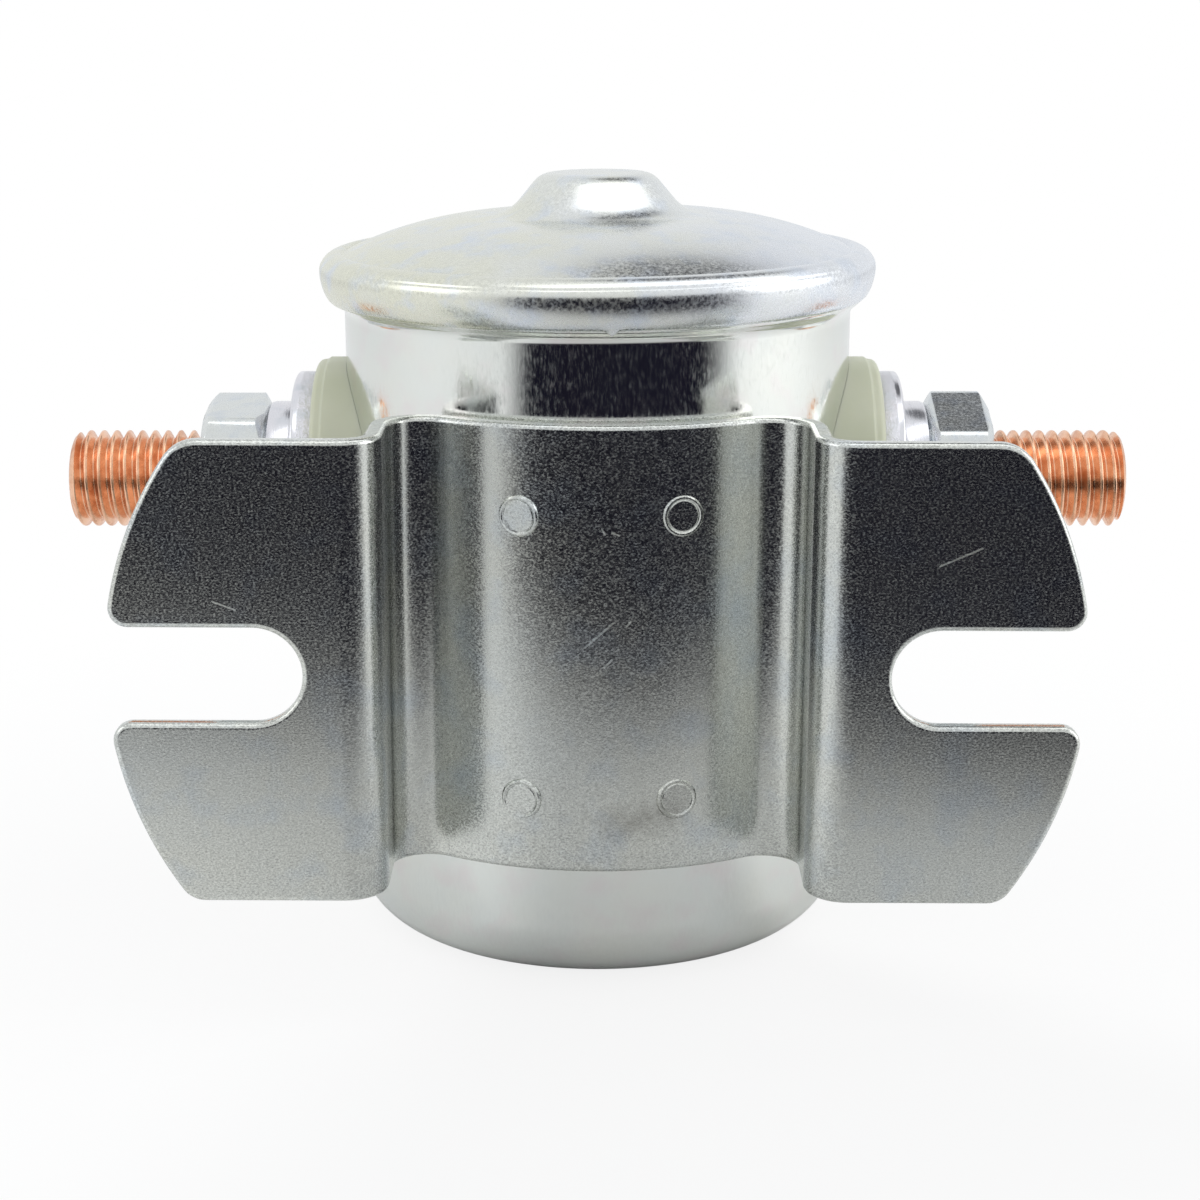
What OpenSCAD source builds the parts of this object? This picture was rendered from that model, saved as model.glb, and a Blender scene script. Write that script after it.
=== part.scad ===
// Starter solenoid relay, millimetres, +Z up.
// The origin is on the can's axis at its underside. The mounting bracket is towards -Y and the
// main studs lie along X.

/* [Can] */
// Outer diameter of the can
can_d = 40.8; // [38:0.1:46]
// Sheet thickness of the can's wall
can_wall = 1.2; // [0.8:0.1:1.6]
// Outer radius of the can's bottom corner
can_corner_r = 5; // [3:0.1:7]
// Height of the can's open end above its underside
can_h = 54; // [53:0.1:60]
// How far the can's turned-out lip stands past its wall
can_lip = 0.65; // [0.3:0.05:0.8]

/* [Cap] */
// Sheet thickness of the cap
cap_sheet = 0.75; // [0.5:0.05:0.9]
// Radius where the cap's rim is widest
rim_r = 22.3; // [22.2:0.05:22.8]
// Radius of the rounding on the rim's upper edge
rim_round = 1.55; // [1.4:0.05:1.9]
// How far the crimped skirt reaches down from the rim's widest point
skirt_h = 2.45; // [2:0.05:3]
// Wall of the skirt at its lower edge
skirt_edge = 0.5; // [0.3:0.05:0.7]
// Rise of the dome from the foot of its slope to the foot of the boss
dome_rise = 3.25; // [2.5:0.05:4]
// Radius of the dome at the foot of its slope
dome_r = 20.4; // [20:0.1:20.7]
// Radius of the hollow curve where the boss meets the dome
boss_foot_r = 8; // [7.5:0.1:10]
// Radius of the boss at the bottom of its flank
boss_base_r = 6.5; // [6:0.1:7]
// Radius of the flat on top of the boss
boss_top_r = 3.6; // [3:0.1:4]
// Height of the boss above the foot of its hollow curve
boss_h = 2.8; // [2.2:0.1:3.5]
// Rounding of the boss's upper edge
boss_round = 1.9; // [1:0.1:2]

/* [Bracket] */
// Sheet thickness of the bracket
sheet = 1.4; // [1:0.1:1.8]
// Height of the bracket
bracket_h = 34.3; // [32:0.1:36]
// Depth of the bracket's upper edge below the can's open end
bracket_drop = 9.15; // [8.5:0.05:11]
// Overall width of the bracket at the slots
bracket_w = 71.2; // [68:0.1:80]
// Distance from the can's axis to the mounting face of the wings
face_y = 28.55; // [27.5:0.05:30]
// Gap between the can and the bracket's curved seat, bridged by the weld projections
seat_gap = 0.4856; // [0.3:0.0001:0.8]
// Distance from the middle to the inward face of each upright wall
wall_x = 15.5; // [15:0.1:16.5]
// Inside radius of the bend between the seat and the wall
seat_bend_r = 2.585; // [1.8:0.005:3]
// Outer radius of the bend between the wall and the wing
wing_bend_r = 3.1; // [2:0.1:3.5]
// Radius of the wings' curved ends
wing_end_r = 29; // [26:0.1:34]
// Radius of the wings' upper corners
upper_corner_r = 3; // [1:0.1:4]
// Radius of the wings' lower corners
lower_corner_r = 2; // [1:0.1:4]
// Radius of the corners at the mouths of the slots
mouth_r = 1.4; // [0.5:0.1:2]
// Width of the mounting slots
slot_w = 7.14; // [6:0.02:9]
// Distance between the centres of the slots' round ends
slot_span = 49.7; // [48:0.1:52]
// Diameter of the weld projections
weld_d = 3; // [2:0.1:4]
// Distance between the two columns of welds
weld_span = 11.9; // [10:0.1:14]
// Height of the upper welds above the bracket's middle
weld_up = 10.3; // [8:0.1:13]
// Depth of the lower welds below the bracket's middle
weld_down = 11.7; // [8:0.1:13]

/* [Main terminals] */
// Depth of all the terminals' axes below the can's open end
stud_drop = 17.4; // [16.5:0.1:18]
// Major diameter of the main studs' thread
main_d = 7.9; // [7:0.02:8.5]
// Pitch of the main studs' thread
main_pitch = 1.058; // [0.9:0.001:1.3]
// Distance from the can's axis to the tip of a main stud
main_tip = 43; // [41:0.1:50]
// Side of a main stud's square head
main_head_w = 10; // [9:0.1:11]
// Thickness of a main stud's head
main_head_t = 3.6; // [2.5:0.1:4]
// Diameter of the outer insulators
outer_ins_d = 20; // [18:0.1:21]
// Distance from the can's axis to the outer insulators' flat face
outer_ins_x = 22.8; // [22.3:0.1:25]
// Diameter of the spigot that fills the can's terminal hole
spigot_d = 11; // [10:0.1:13]
// Diameter of the inner insulators
inner_ins_d = 15.6; // [14:0.1:17]
// Least thickness of an inner insulator behind the stud's head
inner_ins_t = 3.2; // [2.6:0.1:4]
// Outer diameter of the flat washers
flat_washer_d = 17.6; // [16:0.1:18.5]
// Thickness of the flat washers
flat_washer_t = 1.8; // [1.2:0.1:2.2]
// Outer diameter of the lock washers
lock_washer_d = 12.7; // [12:0.1:13.5]
// Thickness of the lock washers
lock_washer_t = 2.15; // [1.2:0.05:2.4]
// Width of the gap in a lock washer
lock_gap = 0.9; // [0.4:0.1:1.6]
// Width across the flats of the main nuts
main_nut_w = 12.7; // [12:0.1:14]
// Thickness of the main nuts
main_nut_t = 5.2; // [4.5:0.05:6.5]

/* [Control terminals] */
// Angle of the control studs either side of the +Y direction
control_angle = 30; // [27:1:33]
// Major diameter of the control studs' thread
control_d = 4.82; // [4:0.02:5]
// Pitch of the control studs' thread
control_pitch = 0.794; // [0.7:0.001:0.9]
// Distance from the can's axis to the tip of a control stud
control_tip = 33; // [31:0.1:36]
// Diameter of a control stud's round head
control_head_d = 7.2; // [6.4:0.1:7.6]
// Thickness of a control stud's head
control_head_t = 2.2; // [1.6:0.1:2.4]
// Diameter of the control insulators outside the can
control_ins_d = 12; // [10.5:0.1:12.5]
// Distance from the can's axis to the control insulators' flat face
control_ins_x = 22.8; // [22.2:0.1:24]
// Diameter of the control insulators inside the can
control_inner_d = 8.4; // [7.8:0.1:9]
// Least thickness of a control insulator inside the can
control_inner_t = 1.5; // [1:0.1:1.8]
// Outer diameter of the control flat washers
control_washer_d = 10.5; // [9.5:0.1:11]
// Thickness of the control flat washers
control_washer_t = 1.1; // [0.8:0.1:1.4]
// Outer diameter of the control lock washers
control_lock_d = 8.5; // [7.6:0.1:9]
// Thickness of the control lock washers
control_lock_t = 1.1; // [0.8:0.1:1.4]
// Width across the flats of the control nuts
control_nut_w = 9.5; // [8:0.1:10]
// Thickness of the control nuts
control_nut_t = 3.3; // [2.4:0.1:3.8]

/* [Coil and plunger] */
// Diameter of the fixed pole core
pole_d = 12; // [10:0.1:12.4]
// Height of the fixed pole core
pole_h = 9.6; // [8:0.1:10.5]
// Diameter of the bobbin's bore
bobbin_bore_d = 13.2; // [12.8:0.1:14]
// Wall of the bobbin's tube and flanges
bobbin_wall = 0.9; // [0.6:0.1:1.2]
// Height left free between the coil's plate and the terminals' axes
coil_room = 9.4; // [8.5:0.1:11]
// Diameter of the bobbin's flanges
bobbin_flange_d = 36.6; // [34:0.1:37.4]
// Outer diameter of the copper winding
winding_d = 33.6; // [28:0.1:34]
// Thickness of the tape over the winding
tape_t = 0.4; // [0.2:0.05:0.6]
// Thickness of the plate that closes the magnetic path
flux_t = 2.4; // [1.6:0.1:3]
// Length of the plunger's core
plunger_l = 15; // [14:0.1:16]
// Travel of the plunger
travel = 2.4; // [1.8:0.05:2.8]
// Diameter of the stem
stem_d = 3.8; // [3:0.1:4]
// Depth of the spring's pocket in the plunger
plunger_pocket = 6; // [4:0.1:8]
// Depth of the spring's pocket in the pole core
pole_pocket = 5; // [4:0.1:6]
// Diameter of both spring pockets
pocket_d = 8; // [7.6:0.1:8.8]
// Diameter of the coil leads
lead_d = 1; // [0.6:0.1:1.4]

/* [Contacts] */
// Diameter of the copper contact disc
disc_d = 29.2; // [27:0.1:30]
// Thickness of the contact disc
disc_t = 2; // [1.5:0.1:2.5]
// Gap between the contact disc and the stud heads at rest
contact_gap = 1.52; // [1.3:0.02:1.7]
// Diameter of the insulating bush inside the disc
bush_d = 6.8; // [6:0.1:7]
// Diameter of the bush's flange
bush_flange_d = 10; // [9:0.1:11]
// Thickness of the bush's flange
bush_flange_t = 1.2; // [0.8:0.1:1.6]
// Height of the bush's sleeve above its flange
bush_sleeve_h = 4.4; // [3.6:0.1:4.8]
// Length of the contact spring at rest
contact_spring_l = 5.5; // [5:0.1:7]
// Diameter of the contact spring's seat
seat_washer_d = 11.4; // [10.6:0.1:12]
// Thickness of the contact spring's seat
seat_washer_t = 0.8; // [0.5:0.1:1.2]
// Thickness of the retaining clip
clip_t = 0.6; // [0.4:0.1:0.8]
// Diameter of the retaining clip
clip_d = 7.2; // [6:0.1:8]
// Wire diameter of the return spring
return_wire = 0.8; // [0.5:0.1:1]
// Wire diameter of the contact spring
contact_wire = 0.8; // [0.5:0.1:1]
// Number of turns of the springs
spring_turns = 5; // [3:1:6]

/* [Hidden] */
$fn = 96;

// Running clearance on the radius of the guided sliding fits
run_gap = 0.05;
// Clearance on the radius where a screw or a lead passes a hole
pass_gap = 0.3;
// Clearance on the radius of pieces that are pushed together
push_gap = 0.02;
// Clearance on the radius of the plunger in its tube
plunger_gap = 0.3;
// Air left between the plunger and the pole core when it is home
pole_film = 0.1;
// How much the thread's crests are turned down under a nut
crest_ease = 0.08;
// Chamfer on the rims of washers, nuts and insulators
edge_break = 0.4;
// Every cut runs this far past the piece
over = can_wall;

// Unified thread form: crest flat, root flat and depth as shares of the pitch
crest_share = 0.125;
root_share = 0.165;
depth_share = 0.613;
// Whole turns are counted by rounding after this part of a turn is taken off
turn_spare_share = 0.4;

// Turn of each main nut about its stud, in degrees from a corner at the top
right_nut_turn = -10;
left_nut_turn = 21;
// Radius of a nut's flat face as a share of half its width across the flats
nut_face_share = 0.95;
// Where the gap of each lock washer lies, in degrees about the stud
lock_gap_angle = 35;

can_r = can_d / 2;
can_in = can_r - can_wall;
floor_z = can_wall;

// The cap is measured from the rim's widest circle, which sits level with the can's open end.
rim_z = can_h;
rim_cx = rim_r - rim_round;
rim_round_angle = 10;
boss_round_angle = 39;
valley_z = rim_z + rim_round * cos(rim_round_angle);
foot_z = valley_z + dome_rise;
boss_z = foot_z + boss_h;
skirt_z = rim_z - skirt_h;
gasket_t = valley_z - cap_sheet - can_h;
// Height of the flank's foot as a share of the boss, and the number of steps along the dome
boss_flank_share = 0.15;
dome_steps = 10;

// Heights that hang from the can's open end
stud_z = can_h - stud_drop;
bracket_z = can_h - bracket_drop - bracket_h / 2;

face_z_low = bracket_z - bracket_h / 2;
slot_r = slot_w / 2;
slot_x = slot_span / 2;
wing_cx = bracket_w / 2 - wing_end_r;
seat_r = can_r + seat_gap + sheet;
// Centre of the bend; with the values above it lies on whole ten-thousandths, so the arcs join
// without a step.
valley_x = wall_x - seat_bend_r;
valley_y = -sqrt(pow(seat_r + seat_bend_r, 2) - pow(valley_x, 2));
root_x = wall_x + wing_bend_r;
root_y = -face_y + wing_bend_r;
weld_seat_y = sqrt(pow(seat_r - sheet / 2, 2) - pow(weld_span / 2, 2));

main_r = main_d / 2;
main_head_out = can_in - inner_ins_t;
washer_x = outer_ins_x;
lock_x = washer_x + flat_washer_t;
nut_x = lock_x + lock_washer_t;
nut_end = nut_x + main_nut_t;

control_r = control_d / 2;
control_spigot_r = control_r + can_wall;
control_head_out = can_in - control_inner_t;
control_lock_x = control_ins_x + control_washer_t;
control_nut_x = control_lock_x + control_lock_t;
control_nut_end = control_nut_x + control_nut_t;

pole_z = floor_z + pole_h;
flux_z = stud_z - coil_room;
bobbin_z = flux_z - flux_t;
bobbin_h = bobbin_z - floor_z;
plunger_z = pole_z + travel + pole_film;
plunger_top = plunger_z + plunger_l;
plunger_r = bobbin_bore_d / 2 - plunger_gap;
stem_r = stem_d / 2;
stem_guide_z = pole_z - pole_pocket;
stem_z = floor_z + travel + can_wall / 2;
lead_r = lead_d / 2;
lead_x = control_head_out - control_head_t / 2;

contact_z = stud_z + main_head_w / 2;
disc_z = contact_z + contact_gap;
bush_z = disc_z - bush_flange_t;
bush_top = disc_z + bush_sleeve_h;
spring_base = disc_z + disc_t;
spring_top = spring_base + contact_spring_l;
clip_z = spring_top + seat_washer_t;
stem_top = clip_z + 2 * clip_t;
collar_t = bush_flange_t;
collar_r = bush_d / 2;
clip_groove_r = stem_r - clip_t / 2;

zinc = [0.80, 0.82, 0.82];
steel = [0.62, 0.64, 0.66];
copper = [0.83, 0.52, 0.34];
nylon = [0.80, 0.82, 0.71];
rubber = [0.12, 0.12, 0.13];
winding = [0.60, 0.27, 0.12];
tape = [0.76, 0.66, 0.36];
phenolic = [0.30, 0.18, 0.12];

// Points on an arc from angle a0 to angle a1
function arc_points(cx, cy, r, a0, a1, steps) =
    [for (i = [0:steps]) let (a = a0 + (a1 - a0) * i / steps) [cx + r * cos(a), cy + r * sin(a)]];

// Outline of the cap from its axis to the skirt's lower edge, drawn in by t
function cap_outline(t) = concat(
    [[0, boss_z - t]],
    arc_points(boss_top_r, boss_z - boss_round, boss_round - t, 90, boss_round_angle, 4),
    [[boss_base_r - t, foot_z + boss_h * boss_flank_share - t]],
    [for (i = [0:dome_steps]) let (r = boss_foot_r + (dome_r - boss_foot_r) * i / dome_steps)
        [r, dome_z(r) - t]],
    arc_points(rim_cx, rim_z, rim_round - t, 90 - rim_round_angle, 0, 6),
    [[can_r + (t > 0 ? push_gap : skirt_edge), t > 0 ? skirt_z - over : skirt_z]],
    [[0, t > 0 ? skirt_z - over : skirt_z]]
);

// Height of the dome at radius r: a parabola through its two ends
function dome_z(r) = valley_z
    + dome_rise * (pow(dome_r, 2) - pow(r, 2)) / (pow(dome_r, 2) - pow(boss_foot_r, 2));

// Length of one flank of a thread along the axis
function thread_flank(pitch) = pitch * (1 - crest_share - root_share) / 2;

// Profile of a thread from z0 up to z1, with its first crest at z0
function thread_points(z0, z1, r, pitch) =
    let (turns = round((z1 - z0) / pitch - turn_spare_share))
    let (flank = thread_flank(pitch))
    let (root = r - pitch * depth_share)
    [for (i = [0:turns - 1]) let (z = z0 + i * pitch) each [
        [r, z],
        [r, z + pitch * crest_share],
        [root, z + pitch * crest_share + flank],
        [root, z + pitch - flank]
    ]];

// Points of a ring of a spring's wire at turn angle a
function wire_ring(r, wire_r, a, z, sides) =
    [for (k = [0:sides - 1]) let (b = 360 * k / sides)
        [(r + wire_r * cos(b)) * cos(a), (r + wire_r * cos(b)) * sin(a), z + wire_r * sin(b)]];

// Builds on a terminal's axis: +Z points away from the can's axis
module on_terminal(azimuth) {
    translate([0, 0, stud_z])
        rotate([0, 0, azimuth])
            rotate([0, 90, 0])
                children();
}

// The can's inside or outside surface as a solid, seen from a terminal's own axes
module can_body(r) {
    rotate([0, 90, 0])
        cylinder(r = r, h = can_h * 2, center = true);
}

// A disc with both rims broken
module broken_disc(r, z, t) {
    rotate_extrude()
        polygon([[0, z], [r - edge_break, z], [r, z + edge_break], [r, z + t - edge_break],
                 [r - edge_break, z + t], [0, z + t]]);
}

// One stud of a terminal: shank, eased thread under the nut, full thread past it, chamfered tip
module stud_body(r, pitch, base, thread_from, nut_out, tip) {
    root = r - pitch * depth_share;
    last_crest = tip - (r - root) - pitch * crest_share;
    turns = floor((last_crest - nut_out) / pitch);
    first_crest = last_crest - turns * pitch;
    rotate_extrude()
        polygon(concat(
            [[0, base], [root, base]],
            [[root, thread_from]],
            thread_points(thread_from, nut_out, r - crest_ease, pitch),
            [[root, first_crest - thread_flank(pitch)]],
            thread_points(first_crest, last_crest, r, pitch),
            [[r, last_crest], [r, last_crest + pitch * crest_share], [root, tip], [0, tip]]
        ));
}

// Hexagon nut with both faces chamfered to a circle
module hex_nut(w, t, z, bore_r, turn) {
    corner = w / sqrt(3);
    face_r = w / 2 * nut_face_share;
    far = corner + edge_break;
    drop = (far - face_r) * tan(30);
    difference() {
        intersection() {
            translate([0, 0, z])
                rotate([0, 0, turn])
                    cylinder(r = corner, h = t, $fn = 6);
            rotate_extrude()
                polygon([[0, z], [face_r, z], [far, z + drop], [far, z + t - drop],
                         [face_r, z + t], [0, z + t]]);
        }
        translate([0, 0, z - over])
            cylinder(r = bore_r, h = t + 2 * over);
    }
}

// Split ring that keeps a nut from turning
module split_washer(d, t, z, bore_r) {
    difference() {
        translate([0, 0, z])
            cylinder(d = d, h = t);
        translate([0, 0, z - over])
            cylinder(r = bore_r, h = t + 2 * over);
        translate([0, 0, z + t / 2])
            rotate([0, 0, lock_gap_angle])
                translate([0, -lock_gap / 2, -t])
                    cube([d, lock_gap, 2 * t]);
    }
}

// Plain washer: a disc with a bore
module plain_washer(d, t, z, bore_r) {
    difference() {
        broken_disc(d / 2, z, t);
        translate([0, 0, z - over])
            cylinder(r = bore_r, h = t + 2 * over);
    }
}

// Insulator outside the can: saddle on the wall, spigot through it
module outside_insulator(d, face, spigot_r, bore_r) {
    difference() {
        union() {
            difference() {
                broken_disc(d / 2, 0, face);
                can_body(can_r);
            }
            translate([0, 0, can_in - can_wall / 2])
                cylinder(r = spigot_r, h = face - can_in);
        }
        cylinder(r = bore_r, h = face + over);
    }
}

// Insulator inside the can: flat under the stud's head, saddle against the wall
module inside_insulator(d, base, spigot_r, bore_r) {
    difference() {
        intersection() {
            translate([0, 0, base])
                cylinder(d = d, h = can_r - base);
            can_body(can_in);
        }
        cylinder(r = bore_r, h = can_r);
        translate([0, 0, can_in - can_wall / 2 - push_gap])
            cylinder(r = spigot_r + push_gap, h = can_r);
    }
}

// Helical compression spring of round wire
module coil_spring(r, wire, z0, z1) {
    sides = 6;
    steps = spring_turns * 18;
    wire_r = wire / 2;
    rise = z1 - z0 - wire;
    rings = [for (i = [0:steps])
        wire_ring(r, wire_r, 360 * spring_turns * i / steps, z0 + wire_r + rise * i / steps, sides)];
    polyhedron(
        points = [for (ring = rings) each ring],
        faces = concat(
            [[for (k = [0:sides - 1]) k]],
            [[for (k = [0:sides - 1]) steps * sides + sides - 1 - k]],
            [for (i = [0:steps - 1]) for (k = [0:sides - 1]) let (n = (k + 1) % sides) each [
                [i * sides + k, (i + 1) * sides + k, (i + 1) * sides + n],
                [i * sides + k, (i + 1) * sides + n, i * sides + n]
            ]]
        )
    );
}

// Drawn cup with a turned-out lip and four terminal holes
module can() {
    in_corner = can_corner_r - can_wall;
    color(zinc)
        difference() {
            rotate_extrude()
                polygon(concat(
                    [[0, 0]],
                    arc_points(can_r - can_corner_r, can_corner_r, can_corner_r, -90, 0, 12),
                    [[can_r, can_h - can_wall], [can_r + can_lip, can_h - can_wall + push_gap],
                     [can_r + can_lip, can_h], [can_in, can_h]],
                    arc_points(can_in - in_corner, can_corner_r, in_corner, 0, -90, 8),
                    [[0, floor_z]]
                ));
            for (azimuth = [0, 180])
                on_terminal(azimuth)
                    cylinder(r = spigot_d / 2 + push_gap, h = can_d);
            for (azimuth = [90 - control_angle, 90 + control_angle])
                on_terminal(azimuth)
                    cylinder(r = control_spigot_r + push_gap, h = can_d);
        }
}

// Pressed lid: boss, dome, rolled rim and crimped skirt
module cap() {
    color(zinc)
        difference() {
            rotate_extrude()
                polygon(cap_outline(0));
            rotate_extrude()
                polygon(cap_outline(cap_sheet));
        }
}

// Flat ring that seals the cap on the can's lip
module cap_gasket() {
    color(rubber)
        difference() {
            translate([0, 0, can_h])
                cylinder(r = dome_r, h = gasket_t);
            translate([0, 0, can_h - over])
                cylinder(r = can_in, h = gasket_t + 2 * over);
        }
}

// Half of the bracket seen from above: seat, bend, wall, bend and wing of one even thickness
module bracket_plan() {
    far = bracket_w;
    intersection() {
        difference() {
            circle(r = seat_r);
            circle(r = seat_r - sheet);
        }
        polygon([[-push_gap, 0], [-push_gap, -far], [valley_x, -far], [valley_x, valley_y], [0, 0]]);
    }
    translate([valley_x, valley_y])
        intersection() {
            difference() {
                circle(r = seat_bend_r + sheet);
                circle(r = seat_bend_r);
            }
            polygon([[0, 0], [-valley_x, -valley_y], [far, far], [far, 0]]);
        }
    translate([wall_x, root_y])
        square([sheet, valley_y - root_y]);
    translate([root_x, root_y])
        intersection() {
            difference() {
                circle(r = wing_bend_r);
                circle(r = wing_bend_r - sheet);
            }
            translate([-far, -far])
                square([far, far]);
        }
    translate([root_x, -face_y])
        square([bracket_w / 2 - root_x, sheet]);
}

// What a rounded corner takes away between a straight edge at y and the wing's curved end
module corner_cut(y, r, side) {
    cy = y - side * r;
    cx = wing_cx + sqrt(pow(wing_end_r - r, 2) - pow(cy, 2));
    reach = wing_end_r / (wing_end_r - r);
    difference() {
        polygon([[cx, cy], [cx, y + side * over], [bracket_w, y + side * over],
                 [bracket_w, cy * reach], [wing_cx + (cx - wing_cx) * reach, cy * reach]]);
        translate([cx, cy])
            circle(r = r);
    }
}

// Front outline of one half of the bracket, centred on its middle height
module bracket_outline() {
    difference() {
        intersection() {
            translate([wing_cx, 0])
                circle(r = wing_end_r);
            translate([-over, -bracket_h / 2])
                square([bracket_w, bracket_h]);
        }
        corner_cut(bracket_h / 2, upper_corner_r, 1);
        corner_cut(-bracket_h / 2, lower_corner_r, -1);
        corner_cut(slot_r, mouth_r, -1);
        corner_cut(-slot_r, mouth_r, 1);
        translate([slot_x, -slot_r])
            square([bracket_w, slot_w]);
    }
}

// One half of the bracket, on the +X side
module bracket_half() {
    difference() {
        intersection() {
            translate([0, 0, face_z_low])
                linear_extrude(height = bracket_h)
                    bracket_plan();
            translate([0, 0, bracket_z])
                rotate([90, 0, 0])
                    linear_extrude(height = face_y + over)
                        bracket_outline();
        }
        translate([slot_x, 0, bracket_z])
            rotate([90, 0, 0])
                cylinder(r = slot_r, h = face_y + over);
    }
    for (z = [bracket_z + weld_up, bracket_z - weld_down])
        difference() {
            translate([weld_span / 2, 0, z])
                rotate([90, 0, 0])
                    cylinder(d = weld_d, h = weld_seat_y);
            cylinder(r = can_r, h = can_h);
        }
}

// Mounting bracket with two open slots, joined to the can by four weld projections
module mounting_bracket() {
    color(zinc) {
        bracket_half();
        mirror([1, 0, 0])
            bracket_half();
    }
}

// Main stud with its square head inside the can
module main_stud(azimuth) {
    color(copper)
        on_terminal(azimuth) {
            translate([-main_head_w / 2, -main_head_w / 2, main_head_out - main_head_t])
                cube([main_head_w, main_head_w, main_head_t]);
            stud_body(main_r, main_pitch, main_head_out - main_head_t / 2, washer_x, nut_end, main_tip);
        }
}

// Control stud with its round head inside the can
module control_stud(azimuth) {
    color(steel)
        on_terminal(azimuth) {
            translate([0, 0, control_head_out - control_head_t])
                cylinder(d = control_head_d, h = control_head_t);
            stud_body(control_r, control_pitch, control_head_out - control_head_t / 2,
                      control_ins_x, control_nut_end, control_tip);
        }
}

module main_outer_insulator(azimuth) {
    color(nylon)
        on_terminal(azimuth)
            outside_insulator(outer_ins_d, outer_ins_x, spigot_d / 2, main_r + push_gap);
}

module main_inner_insulator(azimuth) {
    color(nylon)
        difference() {
            on_terminal(azimuth)
                inside_insulator(inner_ins_d, main_head_out, spigot_d / 2, main_r + push_gap);
            translate([0, 0, contact_z - pass_gap])
                cylinder(r = disc_d / 2 + pass_gap, h = main_head_w);
        }
}

module main_flat_washer(azimuth) {
    color(zinc)
        on_terminal(azimuth)
            plain_washer(flat_washer_d, flat_washer_t, washer_x, main_r + pass_gap);
}

module main_lock_washer(azimuth) {
    color(zinc)
        on_terminal(azimuth)
            split_washer(lock_washer_d, lock_washer_t, lock_x, main_r + pass_gap);
}

module main_nut(azimuth, turn) {
    color(zinc)
        on_terminal(azimuth)
            hex_nut(main_nut_w, main_nut_t, nut_x, main_r, turn);
}

module control_insulator(azimuth) {
    color(nylon)
        on_terminal(azimuth)
            outside_insulator(control_ins_d, control_ins_x, control_spigot_r, control_r + push_gap);
}

module control_inner_insulator(azimuth) {
    color(nylon)
        on_terminal(azimuth)
            inside_insulator(control_inner_d, control_head_out, control_spigot_r, control_r + push_gap);
}

module control_washer(azimuth) {
    color(zinc)
        on_terminal(azimuth)
            plain_washer(control_washer_d, control_washer_t, control_ins_x, control_r + pass_gap);
}

module control_lock_washer(azimuth) {
    color(zinc)
        on_terminal(azimuth)
            split_washer(control_lock_d, control_lock_t, control_lock_x, control_r + pass_gap);
}

module control_nut(azimuth) {
    color(zinc)
        on_terminal(azimuth)
            hex_nut(control_nut_w, control_nut_t, control_nut_x, control_r, 0);
}

// Fixed steel core on the can's floor, with the spring's pocket and the stem's guide hole
module pole_core() {
    color(steel)
        difference() {
            translate([0, 0, floor_z])
                cylinder(d = pole_d, h = pole_h);
            translate([0, 0, stem_guide_z])
                cylinder(d = pocket_d, h = pole_pocket + over);
            translate([0, 0, floor_z - over])
                cylinder(r = stem_r + run_gap, h = pole_h + 2 * over);
        }
}

// Nylon spool that carries the winding and guides the plunger
module coil_bobbin() {
    tube_r = bobbin_bore_d / 2 + bobbin_wall;
    color(nylon)
        difference() {
            union() {
                translate([0, 0, floor_z])
                    cylinder(r = tube_r, h = bobbin_h);
                for (z = [floor_z + can_corner_r - can_wall, bobbin_z - bobbin_wall])
                    translate([0, 0, z])
                        cylinder(d = bobbin_flange_d, h = bobbin_wall);
            }
            translate([0, 0, floor_z - over])
                cylinder(d = bobbin_bore_d, h = bobbin_h + 2 * over);
        }
}

// Copper wire, wound solid between the flanges
module coil_winding() {
    base = floor_z + can_corner_r - can_wall + bobbin_wall;
    color(winding)
        difference() {
            translate([0, 0, base])
                cylinder(d = winding_d, h = bobbin_z - bobbin_wall - base);
            translate([0, 0, base - over])
                cylinder(r = bobbin_bore_d / 2 + bobbin_wall, h = bobbin_h);
        }
}

// Tape over the winding
module coil_tape() {
    base = floor_z + can_corner_r - can_wall + bobbin_wall;
    color(tape)
        difference() {
            translate([0, 0, base])
                cylinder(r = winding_d / 2 + tape_t, h = bobbin_z - bobbin_wall - base);
            translate([0, 0, base - over])
                cylinder(d = winding_d, h = bobbin_h);
        }
}

// Steel plate on the bobbin that brings the flux from the can to the plunger
module flux_plate() {
    color(steel)
        difference() {
            translate([0, 0, bobbin_z])
                cylinder(r = can_in - push_gap, h = flux_t);
            translate([0, 0, bobbin_z - over])
                cylinder(d = bobbin_bore_d, h = flux_t + 2 * over);
            for (azimuth = [90 - control_angle, 90 + control_angle])
                rotate([0, 0, azimuth])
                    translate([lead_x, 0, bobbin_z - over])
                        cylinder(r = lead_r + pass_gap, h = flux_t + 2 * over);
        }
}

// Wire from the winding up to a control stud's head
module coil_lead(azimuth) {
    color(winding)
        rotate([0, 0, azimuth])
            translate([lead_x, 0, bobbin_z])
                cylinder(r = lead_r, h = stud_z - control_head_d / 2 - bobbin_z);
}

// Spring that lifts the plunger off the pole core
module return_spring() {
    color(steel)
        coil_spring(pocket_d / 2 - pass_gap - return_wire / 2, return_wire,
                    stem_guide_z, plunger_z + plunger_pocket);
}

// Moving steel core with its spring pocket, fixed on the stem
module plunger_core() {
    color(steel)
        difference() {
            translate([0, 0, plunger_z])
                cylinder(r = plunger_r, h = plunger_l);
            translate([0, 0, plunger_z - over])
                cylinder(d = pocket_d, h = plunger_pocket + over);
            translate([0, 0, plunger_z - over])
                cylinder(r = stem_r, h = plunger_l + 2 * over);
        }
}

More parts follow.
